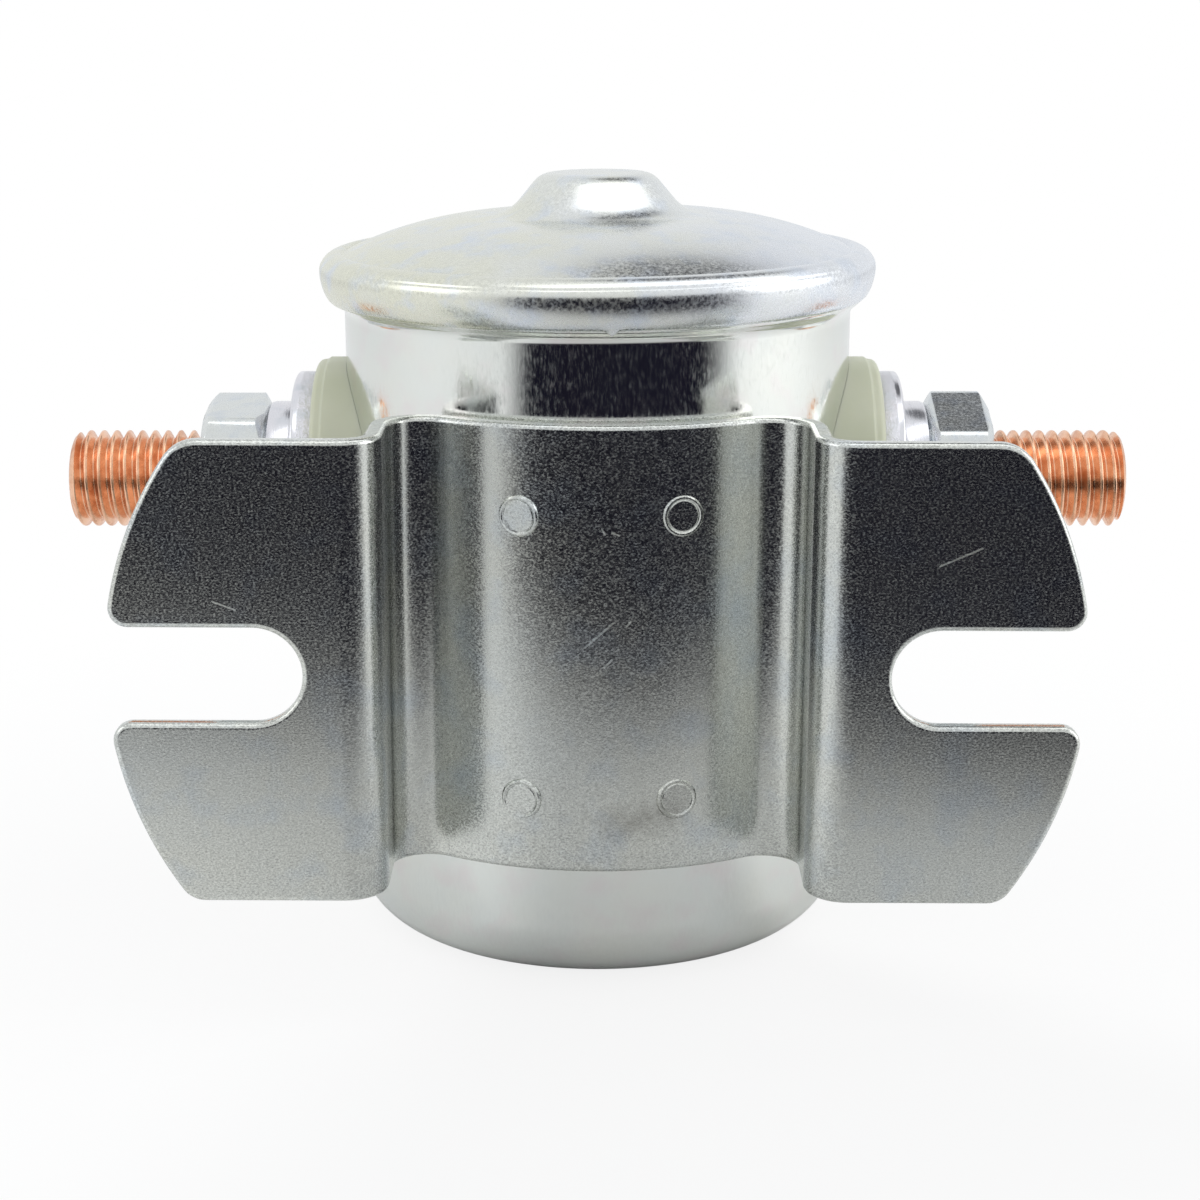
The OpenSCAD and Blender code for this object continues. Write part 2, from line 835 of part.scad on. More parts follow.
// Stem with the collar that carries the bush and the groove that holds the clip
module plunger_stem() {
    color(steel)
        rotate_extrude()
            polygon([[0, stem_z], [stem_r, stem_z], [stem_r, bush_z - collar_t],
                     [collar_r, bush_z - collar_t], [collar_r, bush_z], [stem_r, bush_z],
                     [stem_r, clip_z], [clip_groove_r, clip_z], [clip_groove_r, clip_z + clip_t],
                     [stem_r, clip_z + clip_t], [stem_r, stem_top], [0, stem_top]]);
}

// Insulating bush between the stem and the contact disc
module stem_bush() {
    color(phenolic)
        difference() {
            union() {
                translate([0, 0, bush_z])
                    cylinder(d = bush_flange_d, h = bush_flange_t);
                translate([0, 0, bush_z])
                    cylinder(d = bush_d, h = bush_top - bush_z);
            }
            translate([0, 0, bush_z - over])
                cylinder(r = stem_r, h = bush_top - bush_z + 2 * over);
        }
}

// Copper disc that joins the two main studs
module contact_disc() {
    color(copper)
        plain_washer(disc_d, disc_t, disc_z, bush_d / 2 + run_gap);
}

// Spring that presses the disc on the stud heads over the last of the travel
module contact_spring() {
    color(steel)
        coil_spring(bush_d / 2 + pass_gap + contact_wire / 2, contact_wire, spring_base, spring_top);
}

// Washer under the clip that the contact spring pushes against
module spring_seat() {
    color(steel)
        difference() {
            translate([0, 0, spring_top])
                cylinder(d = seat_washer_d, h = seat_washer_t);
            translate([0, 0, spring_top - over])
                cylinder(r = stem_r, h = seat_washer_t + 2 * over);
        }
}

// Clip snapped into the stem's groove
module retaining_clip() {
    color(steel)
        difference() {
            translate([0, 0, clip_z])
                cylinder(d = clip_d, h = clip_t);
            translate([0, 0, clip_z - over])
                cylinder(r = clip_groove_r, h = clip_t + 2 * over);
            translate([0, -clip_groove_r, clip_z - over])
                cube([clip_d, 2 * clip_groove_r, clip_t + 2 * over]);
        }
}

left = 180;
right = 0;
left_control = 90 + control_angle;
right_control = 90 - control_angle;

can();
cap();
cap_gasket();
mounting_bracket();
main_stud(left);  // left_main_stud
main_stud(right);  // right_main_stud
main_outer_insulator(left);  // left_outer_insulator
main_outer_insulator(right);  // right_outer_insulator
main_inner_insulator(left);  // left_inner_insulator
main_inner_insulator(right);  // right_inner_insulator
main_flat_washer(left);  // left_flat_washer
main_flat_washer(right);  // right_flat_washer
main_lock_washer(left);  // left_lock_washer
main_lock_washer(right);  // right_lock_washer
main_nut(left, left_nut_turn);  // left_nut
main_nut(right, right_nut_turn);  // right_nut
control_stud(left_control);  // left_control_stud
control_stud(right_control);  // right_control_stud
control_insulator(left_control);  // left_control_insulator
control_insulator(right_control);  // right_control_insulator
control_inner_insulator(left_control);  // left_control_inner_insulator
control_inner_insulator(right_control);  // right_control_inner_insulator
control_washer(left_control);  // left_control_washer
control_washer(right_control);  // right_control_washer
control_lock_washer(left_control);  // left_control_lock_washer
control_lock_washer(right_control);  // right_control_lock_washer
control_nut(left_control);  // left_control_nut
control_nut(right_control);  // right_control_nut
pole_core();
coil_bobbin();
coil_winding();
coil_tape();
flux_plate();
coil_lead(left_control);  // left_coil_lead
coil_lead(right_control);  // right_coil_lead
return_spring();
plunger_core();
plunger_stem();
stem_bush();
contact_disc();
contact_spring();
spring_seat();
retaining_clip();
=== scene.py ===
from math import asin, atan2, cos, degrees, hypot, pi, radians, sin, sqrt

import bpy
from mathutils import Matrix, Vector


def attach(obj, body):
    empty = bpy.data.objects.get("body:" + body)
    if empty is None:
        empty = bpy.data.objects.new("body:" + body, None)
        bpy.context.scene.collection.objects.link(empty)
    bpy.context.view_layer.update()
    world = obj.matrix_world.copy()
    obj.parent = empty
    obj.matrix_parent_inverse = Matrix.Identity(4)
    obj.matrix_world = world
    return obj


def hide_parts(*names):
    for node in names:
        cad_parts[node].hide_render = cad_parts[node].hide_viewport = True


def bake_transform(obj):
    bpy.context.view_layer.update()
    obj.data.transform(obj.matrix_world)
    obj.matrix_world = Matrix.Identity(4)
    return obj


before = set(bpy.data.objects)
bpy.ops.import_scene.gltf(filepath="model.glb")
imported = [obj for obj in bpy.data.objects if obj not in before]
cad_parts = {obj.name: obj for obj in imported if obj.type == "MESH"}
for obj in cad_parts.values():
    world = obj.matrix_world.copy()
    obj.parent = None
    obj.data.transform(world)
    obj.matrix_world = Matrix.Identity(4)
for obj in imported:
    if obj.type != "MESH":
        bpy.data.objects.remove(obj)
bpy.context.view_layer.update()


# Can. A cup deep drawn from 1.2 mm steel, zinc plated, with its open end turned out under the cap.
# Four holes are pierced in the wall for the terminals, two of them larger for the main studs.

mm = 0.001
can_r = 20.4
can_wall = 1.2
can_corner = 5.0
can_h = 54.0
lip_r = 21.28
stud_z = 36.6
around = 192


def only(piece):
    """Leaves piece as the one object that is selected and active, in object mode."""
    if bpy.context.object and bpy.context.object.mode != "OBJECT":
        bpy.ops.object.mode_set(mode="OBJECT")
    bpy.ops.object.select_all(action="DESELECT")
    piece.select_set(True)
    bpy.context.view_layer.objects.active = piece


def drawn(name, points):
    """A new piece that is one line of edges through points, in millimetres, left in edit mode."""
    if bpy.context.object and bpy.context.object.mode != "OBJECT":
        bpy.ops.object.mode_set(mode="OBJECT")
    bpy.ops.object.select_all(action="DESELECT")
    bpy.ops.mesh.primitive_plane_add(size=mm, location=(0, 0, 0))
    piece = bpy.context.object
    piece.name = piece.data.name = name
    bpy.ops.object.mode_set(mode="EDIT")
    bpy.ops.mesh.select_all(action="SELECT")
    bpy.ops.mesh.merge(type="CENTER")
    bpy.ops.transform.translate(value=Vector(points[0]) * mm)
    for before, after in zip(points, points[1:]):
        step = (Vector(after) - Vector(before)) * mm
        bpy.ops.mesh.extrude_vertices_move(TRANSFORM_OT_translate={"value": step})
    bpy.ops.mesh.select_all(action="SELECT")
    return piece


def turned(name, outline, steps=around):
    """A round piece: outline is a closed line of (radius, height), spun about the Z axis."""
    piece = drawn(name, [(r, 0, z) for r, z in outline + outline[:1]])
    bpy.ops.mesh.spin(steps=steps, angle=2 * pi, center=(0, 0, 0), axis=(0, 0, 1))
    bpy.ops.mesh.select_all(action="SELECT")
    bpy.ops.mesh.remove_doubles(threshold=0.0005 * mm)
    bpy.ops.mesh.delete_loose(use_verts=True, use_edges=True, use_faces=False)
    bpy.ops.mesh.select_all(action="SELECT")
    bpy.ops.mesh.normals_make_consistent(inside=False)
    bpy.ops.object.mode_set(mode="OBJECT")
    return piece


def arc(cx, cy, r, start, end, steps):
    """Points of an arc between two angles in degrees."""
    turns_and_groove_shade = [radians(start + (end - start) * i / steps) for i in range(steps + 1)]
    return [(cx + r * cos(a), cy + r * sin(a)) for a in turns_and_groove_shade]


def cut(piece, tool, how="DIFFERENCE", solver="EXACT"):
    """Cuts piece with tool, or keeps what both share, and removes the tool."""
    only(piece)
    step = piece.modifiers.new("cut", "BOOLEAN")
    step.operation = how
    step.solver = solver
    step.object = tool
    bpy.ops.object.modifier_apply(modifier=step.name)
    bpy.data.objects.remove(tool)
    return piece


def smooth(piece, angle=30):
    """Smooth shading, with a crease where two faces meet at more than angle degrees."""
    only(piece)
    bpy.ops.object.shade_smooth_by_angle(angle=radians(angle))
    return piece


def level(piece):
    """Lets the large flat faces keep their own direction where a rounded edge meets them."""
    only(piece)
    even = piece.modifiers.new("level faces", "WEIGHTED_NORMAL")
    even.keep_sharp = True
    bpy.ops.object.modifier_apply(modifier=even.name)
    return piece


def fit(piece, slot, material, *nodes):
    """Gives a finished piece its material, and lets it stand for its CAD nodes. slot is not used.
    """
    piece.data.materials.clear()
    piece.data.materials.append(material)
    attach(piece, "housing")
    if nodes:
        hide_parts(*nodes)
    return piece


def dress(material, *nodes):
    """Gives CAD nodes that already have the right shape their material."""
    for node in nodes:
        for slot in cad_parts[node].material_slots:
            slot.material = material


def linear(code):
    """An sRGB hex colour as linear light."""
    parts = [int(code[i:i + 2], 16) / 255 for i in (1, 3, 5)]
    return [p / 12.92 if p <= 0.04045 else ((p + 0.055) / 1.055) ** 2.4 for p in parts] + [1]


def feed(tree, node, links):
    """Gives a node its inputs, each a value or another node's output."""
    for socket, value in links.items():
        if isinstance(value, bpy.types.NodeSocket):
            tree.links.new(value, node.inputs[socket])
        else:
            node.inputs[socket].default_value = value


def add(tree, kind, links, **settings):
    """Adds a node with its settings and its inputs."""
    node = tree.nodes.new(kind)
    for key, value in settings.items():
        setattr(node, key, value)
    feed(tree, node, links)
    return node


def new_material(name):
    """An empty material with its shader, and the piece's own coordinates in metres."""
    material = bpy.data.materials.new(name)
    material.use_nodes = True
    tree = material.node_tree
    shader = tree.nodes["Principled BSDF"]
    place = add(tree, "ShaderNodeTexCoord", {}).outputs["Object"]
    return material, tree, shader, place


# A noise texture hardly leaves this range.
swing = {"From Min": 0.3, "From Max": 0.7}


def zinc_plate(name, tones, gloss, grain_mm, grain_depth, stretch, patch_mm=7.0, wave_depth=0.0,
               wave_mm=3.5, fleck=0.0, drift=0.0):
    """Zinc plate over steel: cloudy tones of the clear chromate, a fine grain and its gloss.
    tones are three hex colours, and each cloud of them is about patch_mm wide. gloss is the least
    and most roughness, and stretch the grain's scale along X, Y and Z. wave_depth and wave_mm are
    the height and width in mm of a slow ripple. fleck is how far the grain lightens and darkens
    the tone, and drift the share of the second tone lost per mm along X. The real grain of 0.05 mm
    is too fine to show, so it is drawn at least twice as coarse."""
    material, tree, shader, place = new_material(name)
    clouds = add(tree, "ShaderNodeTexNoise",
                 {"Vector": place, "Scale": 1 / (patch_mm * mm), "Detail": 3.0})
    along = add(tree, "ShaderNodeSeparateXYZ", {"Vector": place})
    lean = add(tree, "ShaderNodeMath", {0: along.outputs["X"], 1: -drift / mm,
                                        2: clouds.outputs["Fac"]},
               operation="MULTIPLY_ADD", use_clamp=True)
    wash = add(tree, "ShaderNodeMix", {0: lean.outputs["Value"], 6: linear(tones[0]),
                                       7: linear(tones[1])}, data_type="RGBA")
    patches = add(tree, "ShaderNodeTexNoise",
                  {"Vector": place, "Scale": 1 / (patch_mm * 0.45 * mm), "Detail": 4.0})
    share = add(tree, "ShaderNodeMapRange", {"Value": patches.outputs["Fac"], "From Min": 0.5,
                                             "From Max": 0.72, "To Max": 0.8})
    tint = add(tree, "ShaderNodeMix", {0: share.outputs["Result"], 6: wash.outputs[2],
                                       7: linear(tones[2])}, data_type="RGBA")
    turned_place = add(tree, "ShaderNodeMapping", {"Vector": place, "Scale": stretch})
    grain = add(tree, "ShaderNodeTexNoise", {"Vector": turned_place.outputs["Vector"],
                                             "Scale": 1 / (grain_mm * mm), "Detail": 3.0,
                                             "Roughness": 0.6})
    light = add(tree, "ShaderNodeMapRange", {"Value": grain.outputs["Fac"], **swing,
                                             "To Min": 1 - fleck, "To Max": 1 + fleck})
    colour = add(tree, "ShaderNodeVectorMath", {0: tint.outputs[2],
                                                "Scale": light.outputs["Result"]},
                 operation="SCALE")
    rough = add(tree, "ShaderNodeMapRange", {"Value": grain.outputs["Fac"], **swing,
                                             "To Min": gloss[0], "To Max": gloss[1]})
    relief = add(tree, "ShaderNodeBump", {"Height": grain.outputs["Fac"],
                                          "Distance": grain_depth * mm})
    if wave_depth:
        waves = add(tree, "ShaderNodeTexNoise", {"Vector": place, "Scale": 1 / (wave_mm * mm),
                                                 "Detail": 1.0})
        relief = add(tree, "ShaderNodeBump", {"Height": waves.outputs["Fac"],
                                              "Distance": wave_depth * mm,
                                              "Normal": relief.outputs["Normal"]})
    feed(tree, shader, {"Base Color": colour.outputs["Vector"], "Metallic": 1.0,
                        "Roughness": rough.outputs["Result"], "Normal": relief.outputs["Normal"]})
    return material


corner_r = can_r - can_corner
floor_and_wall = [(0, 0), (7, 0)] + arc(corner_r, can_corner, can_corner, -90, 0, 24)
floor_and_wall += [(can_r, 20), (can_r, 36), (can_r, 50.4), (can_r, 50.65)]
lip = [(can_r + 0.04, 50.85), (can_r + 0.14, 51.06), (can_r + 0.32, 51.28), (lip_r - 0.24, 51.52),
       (lip_r - 0.06, 51.7), (lip_r, 51.85), (lip_r, can_h - 0.1), (lip_r - 0.1, can_h)]
bore = [(can_r - can_wall, can_h)]
bore += arc(corner_r, can_corner, can_corner - can_wall, 0, -90, 12) + [(0, can_wall)]
can = turned("can_shell", floor_and_wall + lip + bore)
drill_mid, drill_long = 20, 8
for azimuth, hole_r in ((0, 5.52), (180, 5.52), (60, 3.63), (120, 3.63)):
    side = radians(azimuth)
    bpy.ops.object.select_all(action="DESELECT")
    bpy.ops.mesh.primitive_cylinder_add(
        vertices=64, radius=hole_r * mm, depth=drill_long * mm, rotation=(0, radians(90), side),
        location=(drill_mid * mm * cos(side), drill_mid * mm * sin(side), stud_z * mm))
    cut(can, bpy.context.object)
smooth(can)

# Bright zinc on deep drawn steel: a tight gloss with faint upright draw lines and a pale rainbow
# from the clear chromate.
drawn_zinc = zinc_plate("bright_zinc_on_drawn_steel", ("#dfe4e3", "#e5e5dd", "#e2dddc"),
                        (0.03, 0.26), 0.2, 0.002, (1.0, 1.0, 0.3), 6.0, 0.01, fleck=0.03)
fit(can, "zinc_can", drawn_zinc, "can")


# Cap. A lid pressed from 0.75 mm steel, satin zinc plated: a boss in a shallow hollow on a low
# dome, a rolled rim with a crease, and a skirt crimped in round the can's lip, with one burr.


def curve(ends, steps):
    """Points along a curve with two end points and two handles."""
    a, b, c, d = ends
    found = []
    for i in range(1, steps + 1):
        t = i / steps
        s = 1 - t
        found.append(tuple(s ** 3 * a[k] + 3 * s * s * t * b[k] + 3 * s * t * t * c[k]
                           + t ** 3 * d[k] for k in (0, 1)))
    return found


boss = [(0, 61.55), (2.0, 61.55)] + arc(3.6, 59.67, 1.88, 90, 39, 12)
boss += [(5.2, 60.69), (5.7, 60.09), (6.15, 59.55)]
hollow = arc(8.655, 61.393, 3.1, 220, 270, 12)
dome = curve([hollow[-1], (12.4, 58.29), (16.9, 57.15), (20.2, 55.53)], 28)
rim = [(20.38, 55.45), (20.48, 55.45), (20.56, 55.52), (20.66, 55.59)]
rim += arc(20.78, 54.05, 1.57, 90, 34, 12) + [(22.09, 54.86), (22.15, 54.8), (22.23, 54.7)]
skirt = [(22.3, 54.52), (22.34, 54.28), (22.35, 54.0), (22.33, 53.7), (22.28, 53.38), (22.19, 53.0),
         (22.07, 52.62), (21.92, 52.28), (21.74, 51.99), (21.56, 51.82), (21.44, 51.76),
         (21.36, 51.78), (21.34, 51.88)]
inside = [(21.5, 52.6), (21.5, 54.1), (21.1, 54.6), (20.4, 54.72), (17, 56.06), (14, 56.93),
          (11.5, 57.35), (9, 57.53), (7.4, 57.85), (5.7, 58.6), (4.4, 60.2), (3.5, 60.75),
          (0, 60.8)]
cap = turned("cap_lid", boss + hollow + dome + rim + skirt + inside, 256)

# The burr is pulled out and down from the front of the seam.
burr_x, burr_half = 1.05, 0.25
burr_top, burr_inner_r = 51.9, 21.33
only(cap)
bpy.ops.object.mode_set(mode="EDIT")
bpy.ops.mesh.select_all(action="DESELECT")
bpy.ops.object.mode_set(mode="OBJECT")
for v in cap.data.vertices:
    x, y, z = (c / mm for c in v.co)
    in_seam = z < burr_top and hypot(x, y) > burr_inner_r
    v.select = y < 0 and abs(x - burr_x) < burr_half and in_seam
bpy.ops.object.mode_set(mode="EDIT")
bpy.ops.transform.translate(value=(0, -0.1 * mm, -0.36 * mm))
bpy.ops.object.mode_set(mode="OBJECT")

# The crimp has drawn the lid half a degree down on the left, about the middle of the skirt.
cap_tilt, skirt_z = radians(-0.5), 53
cap.rotation_euler = (0, cap_tilt, 0)
cap.location = (-skirt_z * mm * sin(cap_tilt), 0, 0)
only(cap)
bpy.ops.object.transform_apply(location=True, rotation=True, scale=False)
smooth(cap, 40)

# Satin zinc on pressed steel: softer than the can, with a mottled grain, yellow on the left and
# blue on the right.
pressed_zinc = zinc_plate("satin_zinc_on_pressed_steel", ("#e1e4e9", "#dfdfd0", "#d4dbe5"),
                          (0.14, 0.4), 0.26, 0.003, (1.0, 1.0, 1.0), 5.0, 0.02, fleck=0.08,
                          drift=0.03)
fit(cap, "zinc_cap", pressed_zinc, "cap")


# Mounting bracket. One strip of 1.4 mm steel, blanked with two open slots and bent five ways: a
# seat curved round the can, two walls and two wings. It is spot welded to the can at four points.

sheet = 1.4
seat_r = 22.2856
bend_x, bend_y, bend_mid = 12.915, -21.2544, 3.285
wing_x, wing_y, wing_bend = 18.6, -25.45, 2.4
bracket_z, half_h = 27.7, 17.3
end_cx, end_r = 6.6, 29.0
slot_x, slot_r = 24.85, 3.57
strip_end, spare = 38, 1
punch_y, punch_deep = -15, 20

meet = degrees(atan2(bend_y, bend_x))
half_path = arc(0, 0, seat_r - sheet / 2, -90, meet, 30)
half_path += arc(bend_x, bend_y, bend_mid, meet + 180, 0, 20)[1:]
half_path += arc(wing_x, wing_y, wing_bend, 180, 270, 14) + [(strip_end, wing_y - wing_bend)]
path = [(-x, y) for x, y in reversed(half_path[1:])] + half_path
bracket = drawn("bracket_strip", [(x, y, bracket_z - half_h - spare) for x, y in path])
bpy.ops.mesh.extrude_region_move(
    TRANSFORM_OT_translate={"value": (0, 0, 2 * (half_h + spare) * mm)})
bpy.ops.object.mode_set(mode="OBJECT")
only(bracket)
thicken = bracket.modifiers.new("sheet", "SOLIDIFY")
thicken.thickness = sheet * mm
thicken.offset = 0
thicken.use_even_offset = True
bpy.ops.object.modifier_apply(modifier=thicken.name)


def rounded(y, r, side):
    """A corner of the blank between a level edge at y and the curved end, from the edge on."""
    cy = y - side * r
    cx = end_cx + sqrt((end_r - r) ** 2 - cy ** 2)
    out = degrees(atan2(cy, cx - end_cx))
    return arc(cx, cy, r, side * 90, out, 8)


# From top to bottom, the four corners of each wing.
top = rounded(half_h, 3.0, 1)
mouth_top = rounded(slot_r, 1.4, -1)
mouth_low = rounded(-slot_r, 1.4, 1)
low = rounded(-half_h, 2.0, -1)


def end_angle(point):
    """Where a point of the curved end lies on its circle, in degrees."""
    return degrees(atan2(point[1], point[0] - end_cx))


outline = top + arc(end_cx, 0, end_r, end_angle(top[-1]), end_angle(mouth_top[-1]), 16)[1:-1]
outline += mouth_top[::-1] + arc(slot_x, 0, slot_r, 90, 270, 24) + mouth_low
outline += arc(end_cx, 0, end_r, end_angle(mouth_low[-1]), end_angle(low[-1]), 16)[1:-1]
outline += low[::-1]
outline += [(-x, z) for x, z in reversed(outline)]
blank = drawn("blank", [(x, punch_y, bracket_z + z) for x, z in outline + outline[:1]])
bpy.ops.mesh.remove_doubles(threshold=0.0005 * mm)
bpy.ops.mesh.select_all(action="SELECT")
bpy.ops.mesh.edge_face_add()
bpy.ops.mesh.extrude_region_move(TRANSFORM_OT_translate={"value": (0, -punch_deep * mm, 0)})
bpy.ops.mesh.select_all(action="SELECT")
bpy.ops.mesh.normals_make_consistent(inside=False)
bpy.ops.object.mode_set(mode="OBJECT")
cut(bracket, blank, "INTERSECT")


def soften(piece, width, steps=3, angle=40):
    """Rounds every edge sharper than angle degrees to about width millimetres."""
    only(piece)
    edges = piece.modifiers.new("soft edges", "BEVEL")
    edges.width = width * mm
    edges.segments = steps
    edges.limit_method = "ANGLE"
    edges.angle_limit = radians(angle)
    bpy.ops.object.modifier_apply(modifier=edges.name)
    return piece


soften(bracket, 0.42, 4)
# It is welded on a quarter of a degree off level, with its left side high.
bracket_tilt = radians(0.27)
bracket.rotation_euler = (0, bracket_tilt, 0)
bracket.location = (-bracket_z * sin(bracket_tilt) * mm, 0, 0)
only(bracket)
bpy.ops.object.transform_apply(location=True, rotation=True, scale=False)
level(smooth(bracket, 35))


def near_line(tree, place, start, end, reach):
    """1 on a line between two points (x, z) on the front, in mm, fading to 0 at reach from it."""
    a, b = Vector((start[0], 0, start[1])) * mm, Vector((end[0], 0, end[1])) * mm
    flat = add(tree, "ShaderNodeVectorMath", {0: place, 1: (1, 0, 1)}, operation="MULTIPLY")
    away = add(tree, "ShaderNodeVectorMath", {0: flat.outputs["Vector"], 1: a},
               operation="SUBTRACT")
    share = add(tree, "ShaderNodeVectorMath", {0: away.outputs["Vector"],
                                               1: (b - a) / (b - a).length_squared},
                operation="DOT_PRODUCT")
    inside = add(tree, "ShaderNodeClamp", {"Value": share.outputs["Value"]})
    foot = add(tree, "ShaderNodeVectorMath", {0: b - a, "Scale": inside.outputs["Result"]},
               operation="SCALE")
    gap = add(tree, "ShaderNodeVectorMath", {0: away.outputs["Vector"], 1: foot.outputs["Vector"]},
              operation="DISTANCE")
    found = add(tree, "ShaderNodeMapRange", {"Value": gap.outputs["Value"],
                                             "From Min": reach * mm, "From Max": 0})
    return found.outputs["Result"]


# Grained zinc on rolled sheet: an orange peel of 0.12 mm that breaks every reflection into specks.
# The sheared edges on top are smoother and mirror the can.
rolled_zinc = zinc_plate("grained_zinc_on_rolled_sheet", ("#c8cccb", "#cfcfc6", "#bec5ca"),
                         (0.08, 0.35), 0.12, 0.006, (0.65, 1.0, 1.0), 9.0, fleck=0.4)
tree = rolled_zinc.node_tree
shader = tree.nodes["Principled BSDF"]
place = add(tree, "ShaderNodeTexCoord", {}).outputs["Object"]
facing = add(tree, "ShaderNodeNewGeometry", {}).outputs["True Normal"]
upward = add(tree, "ShaderNodeSeparateXYZ", {"Vector": facing})
edge = add(tree, "ShaderNodeMapRange", {"Value": upward.outputs["Z"], "From Min": 0.9,
                                        "From Max": 0.98})
grained = shader.inputs["Roughness"].links[0].from_socket
rough = add(tree, "ShaderNodeMix", {0: edge.outputs["Result"], 2: grained, 3: 0.08})

# Handling has left a few fine scratches, each given by its two ends (x, z).
scratched = 0.0
for start, end in (((-0.95, 28.2), (1.15, 30.1)), ((0.5, 26.7), (1.1, 27.3)),
                   ((0.33, 37.3), (0.57, 36.9)), ((1.1, 37.0), (1.6, 36.8)),
                   ((2.2, 29.9), (2.5, 30.2)), ((24.4, 36.0), (27.4, 37.3)),
                   ((-27.5, 33.4), (-25.9, 32.8))):
    line = near_line(tree, place, start, end, 0.09)
    scratched = add(tree, "ShaderNodeMath", {0: line, 1: scratched},
                    operation="MAXIMUM").outputs["Value"]
rough = add(tree, "ShaderNodeMix", {0: scratched, 2: rough.outputs[0], 3: 0.6})

# The welder has left a brown stain by the lower right weld.
mottle = add(tree, "ShaderNodeTexNoise", {"Vector": place, "Scale": 1 / (0.8 * mm), "Detail": 3.0})
spread = add(tree, "ShaderNodeMath", {0: near_line(tree, place, (1.6, 14.3), (5.4, 14.9), 2.2),
                                      1: mottle.outputs["Fac"]}, operation="MULTIPLY")
stain = add(tree, "ShaderNodeMapRange", {"Value": spread.outputs["Value"], "From Min": 0.05,
                                         "From Max": 0.55, "To Max": 0.4})
plain = shader.inputs["Base Color"].links[0].from_socket
tint = add(tree, "ShaderNodeMix", {0: stain.outputs["Result"], 6: plain,
                                   7: linear("#6f6a62")}, data_type="RGBA")
feed(tree, shader, {"Base Color": tint.outputs[2], "Roughness": rough.outputs[0]})
fit(bracket, "zinc_bracket", rolled_zinc, "mounting_bracket")

# The four welds show in front as shallow round marks with a raised rim. Each has its place (x, z)
# and, in degrees, how far it nods and turns from the seat's own direction.
weld_outline = [(0, 0.06), (1.12, 0.06), (1.2, 0.03), (1.26, 0.05), (1.34, 0.12), (1.44, 0.12),
                (1.54, 0.04), (1.6, -0.08), (1.6, -0.4), (0, -0.4)]
for name, x, z, nod, yaw in (("upper_left", -5.85, 38.1, 2, -5), ("upper_right", 6.35, 38.1, 0, -1),
                             ("lower_left", -5.8, 16.1, 3, -3), ("lower_right", 6.05, 16.1, -2, 2)):
    weld = turned("weld_mark_" + name, weld_outline, 36)
    lean = asin(x / seat_r)
    weld.rotation_euler = (radians(90 + nod), 0, lean + radians(yaw))
    weld.location = (x * mm, -seat_r * cos(lean) * mm, z * mm)
    only(weld)
    bpy.ops.object.transform_apply(location=True, rotation=True, scale=True)
    smooth(weld, 20)
    fit(weld, "zinc_bracket", rolled_zinc)


# Insulators. Moulded nylon bushes, a flange outside the can with a saddle on its wall and a spigot
# through it. The flange has a shallow step and a rounded rim.

main_sides = (("left", 180), ("right", 0))
control_sides = (("left", 120), ("right", 60))
bush_face = small_bush_face = 22.8
saddle_depth, saddle_long = 15, 60
spigot_low, spigot_high = 18.6, 22


def insulator(name, r, face, bore, spigot, step):
    """A bush on the Z axis: face is the height of its flat end, spigot the radius of its neck, and
    step the size of the step and rounding at its rim."""
    rim_r, rim_z = r - 0.2, face - step * 0.6
    outline = [(bore, saddle_depth), (r, saddle_depth), (r, face - step * 1.2),
               (r - 0.05, face - step * 1.08), (r - 0.12, face - step),
               (r - 0.17, face - step * 0.86), (rim_r, rim_z)]
    outline += arc(rim_r - step * 0.6, rim_z, step * 0.6, 0, 90, 6)[1:]
    piece = turned(name, outline + [(bore, face)])
    bpy.ops.object.select_all(action="DESELECT")
    bpy.ops.mesh.primitive_cylinder_add(vertices=around, radius=(can_r + 0.01) * mm,
                                        depth=saddle_long * mm, location=(0, 0, 0),
                                        rotation=(0, radians(90), 0))
    cut(piece, bpy.context.object)
    neck = turned("neck", [(bore, spigot_low), (spigot, spigot_low), (spigot, spigot_high),
                           (bore, spigot_high)], 96)
    cut(piece, neck, "UNION")
    return level(smooth(piece, 40))


def on_terminal(source, name, azimuth, turn=0):
    """A copy of a piece made on the Z axis, laid on the terminal that points to azimuth."""
    only(source)
    bpy.ops.object.duplicate()
    piece = bpy.context.object
    piece.name = piece.data.name = name
    piece.rotation_euler = (0, 0, radians(turn))
    bpy.ops.object.transform_apply(location=False, rotation=True, scale=False)
    piece.rotation_euler = (0, radians(90), radians(azimuth))
    piece.location = (0, 0, stud_z * mm)
    bpy.ops.object.transform_apply(location=True, rotation=True, scale=False)
    return piece


# Natural nylon, moulded: pale and milky, with a soft sheen and light that goes a little way in.
nylon, tree, shader, place = new_material("natural_nylon_moulded")
cloud = add(tree, "ShaderNodeTexNoise", {"Vector": place, "Scale": 1 / (4 * mm), "Detail": 3.0})
tint = add(tree, "ShaderNodeMix", {0: cloud.outputs["Fac"], 6: linear("#bfc3a9"),
                                   7: linear("#cccdb9")}, data_type="RGBA")
skin = add(tree, "ShaderNodeTexNoise", {"Vector": place, "Scale": 1 / (0.3 * mm), "Detail": 2.0})
relief = add(tree, "ShaderNodeBump", {"Height": skin.outputs["Fac"], "Distance": 0.004 * mm})
feed(tree, shader, {"Base Color": tint.outputs[2], "Normal": relief.outputs["Normal"],
                    "Roughness": 0.42, "IOR": 1.53, "Subsurface Weight": 0.35,
                    "Subsurface Radius": (1.0, 0.95, 0.7), "Subsurface Scale": 1.2 * mm})

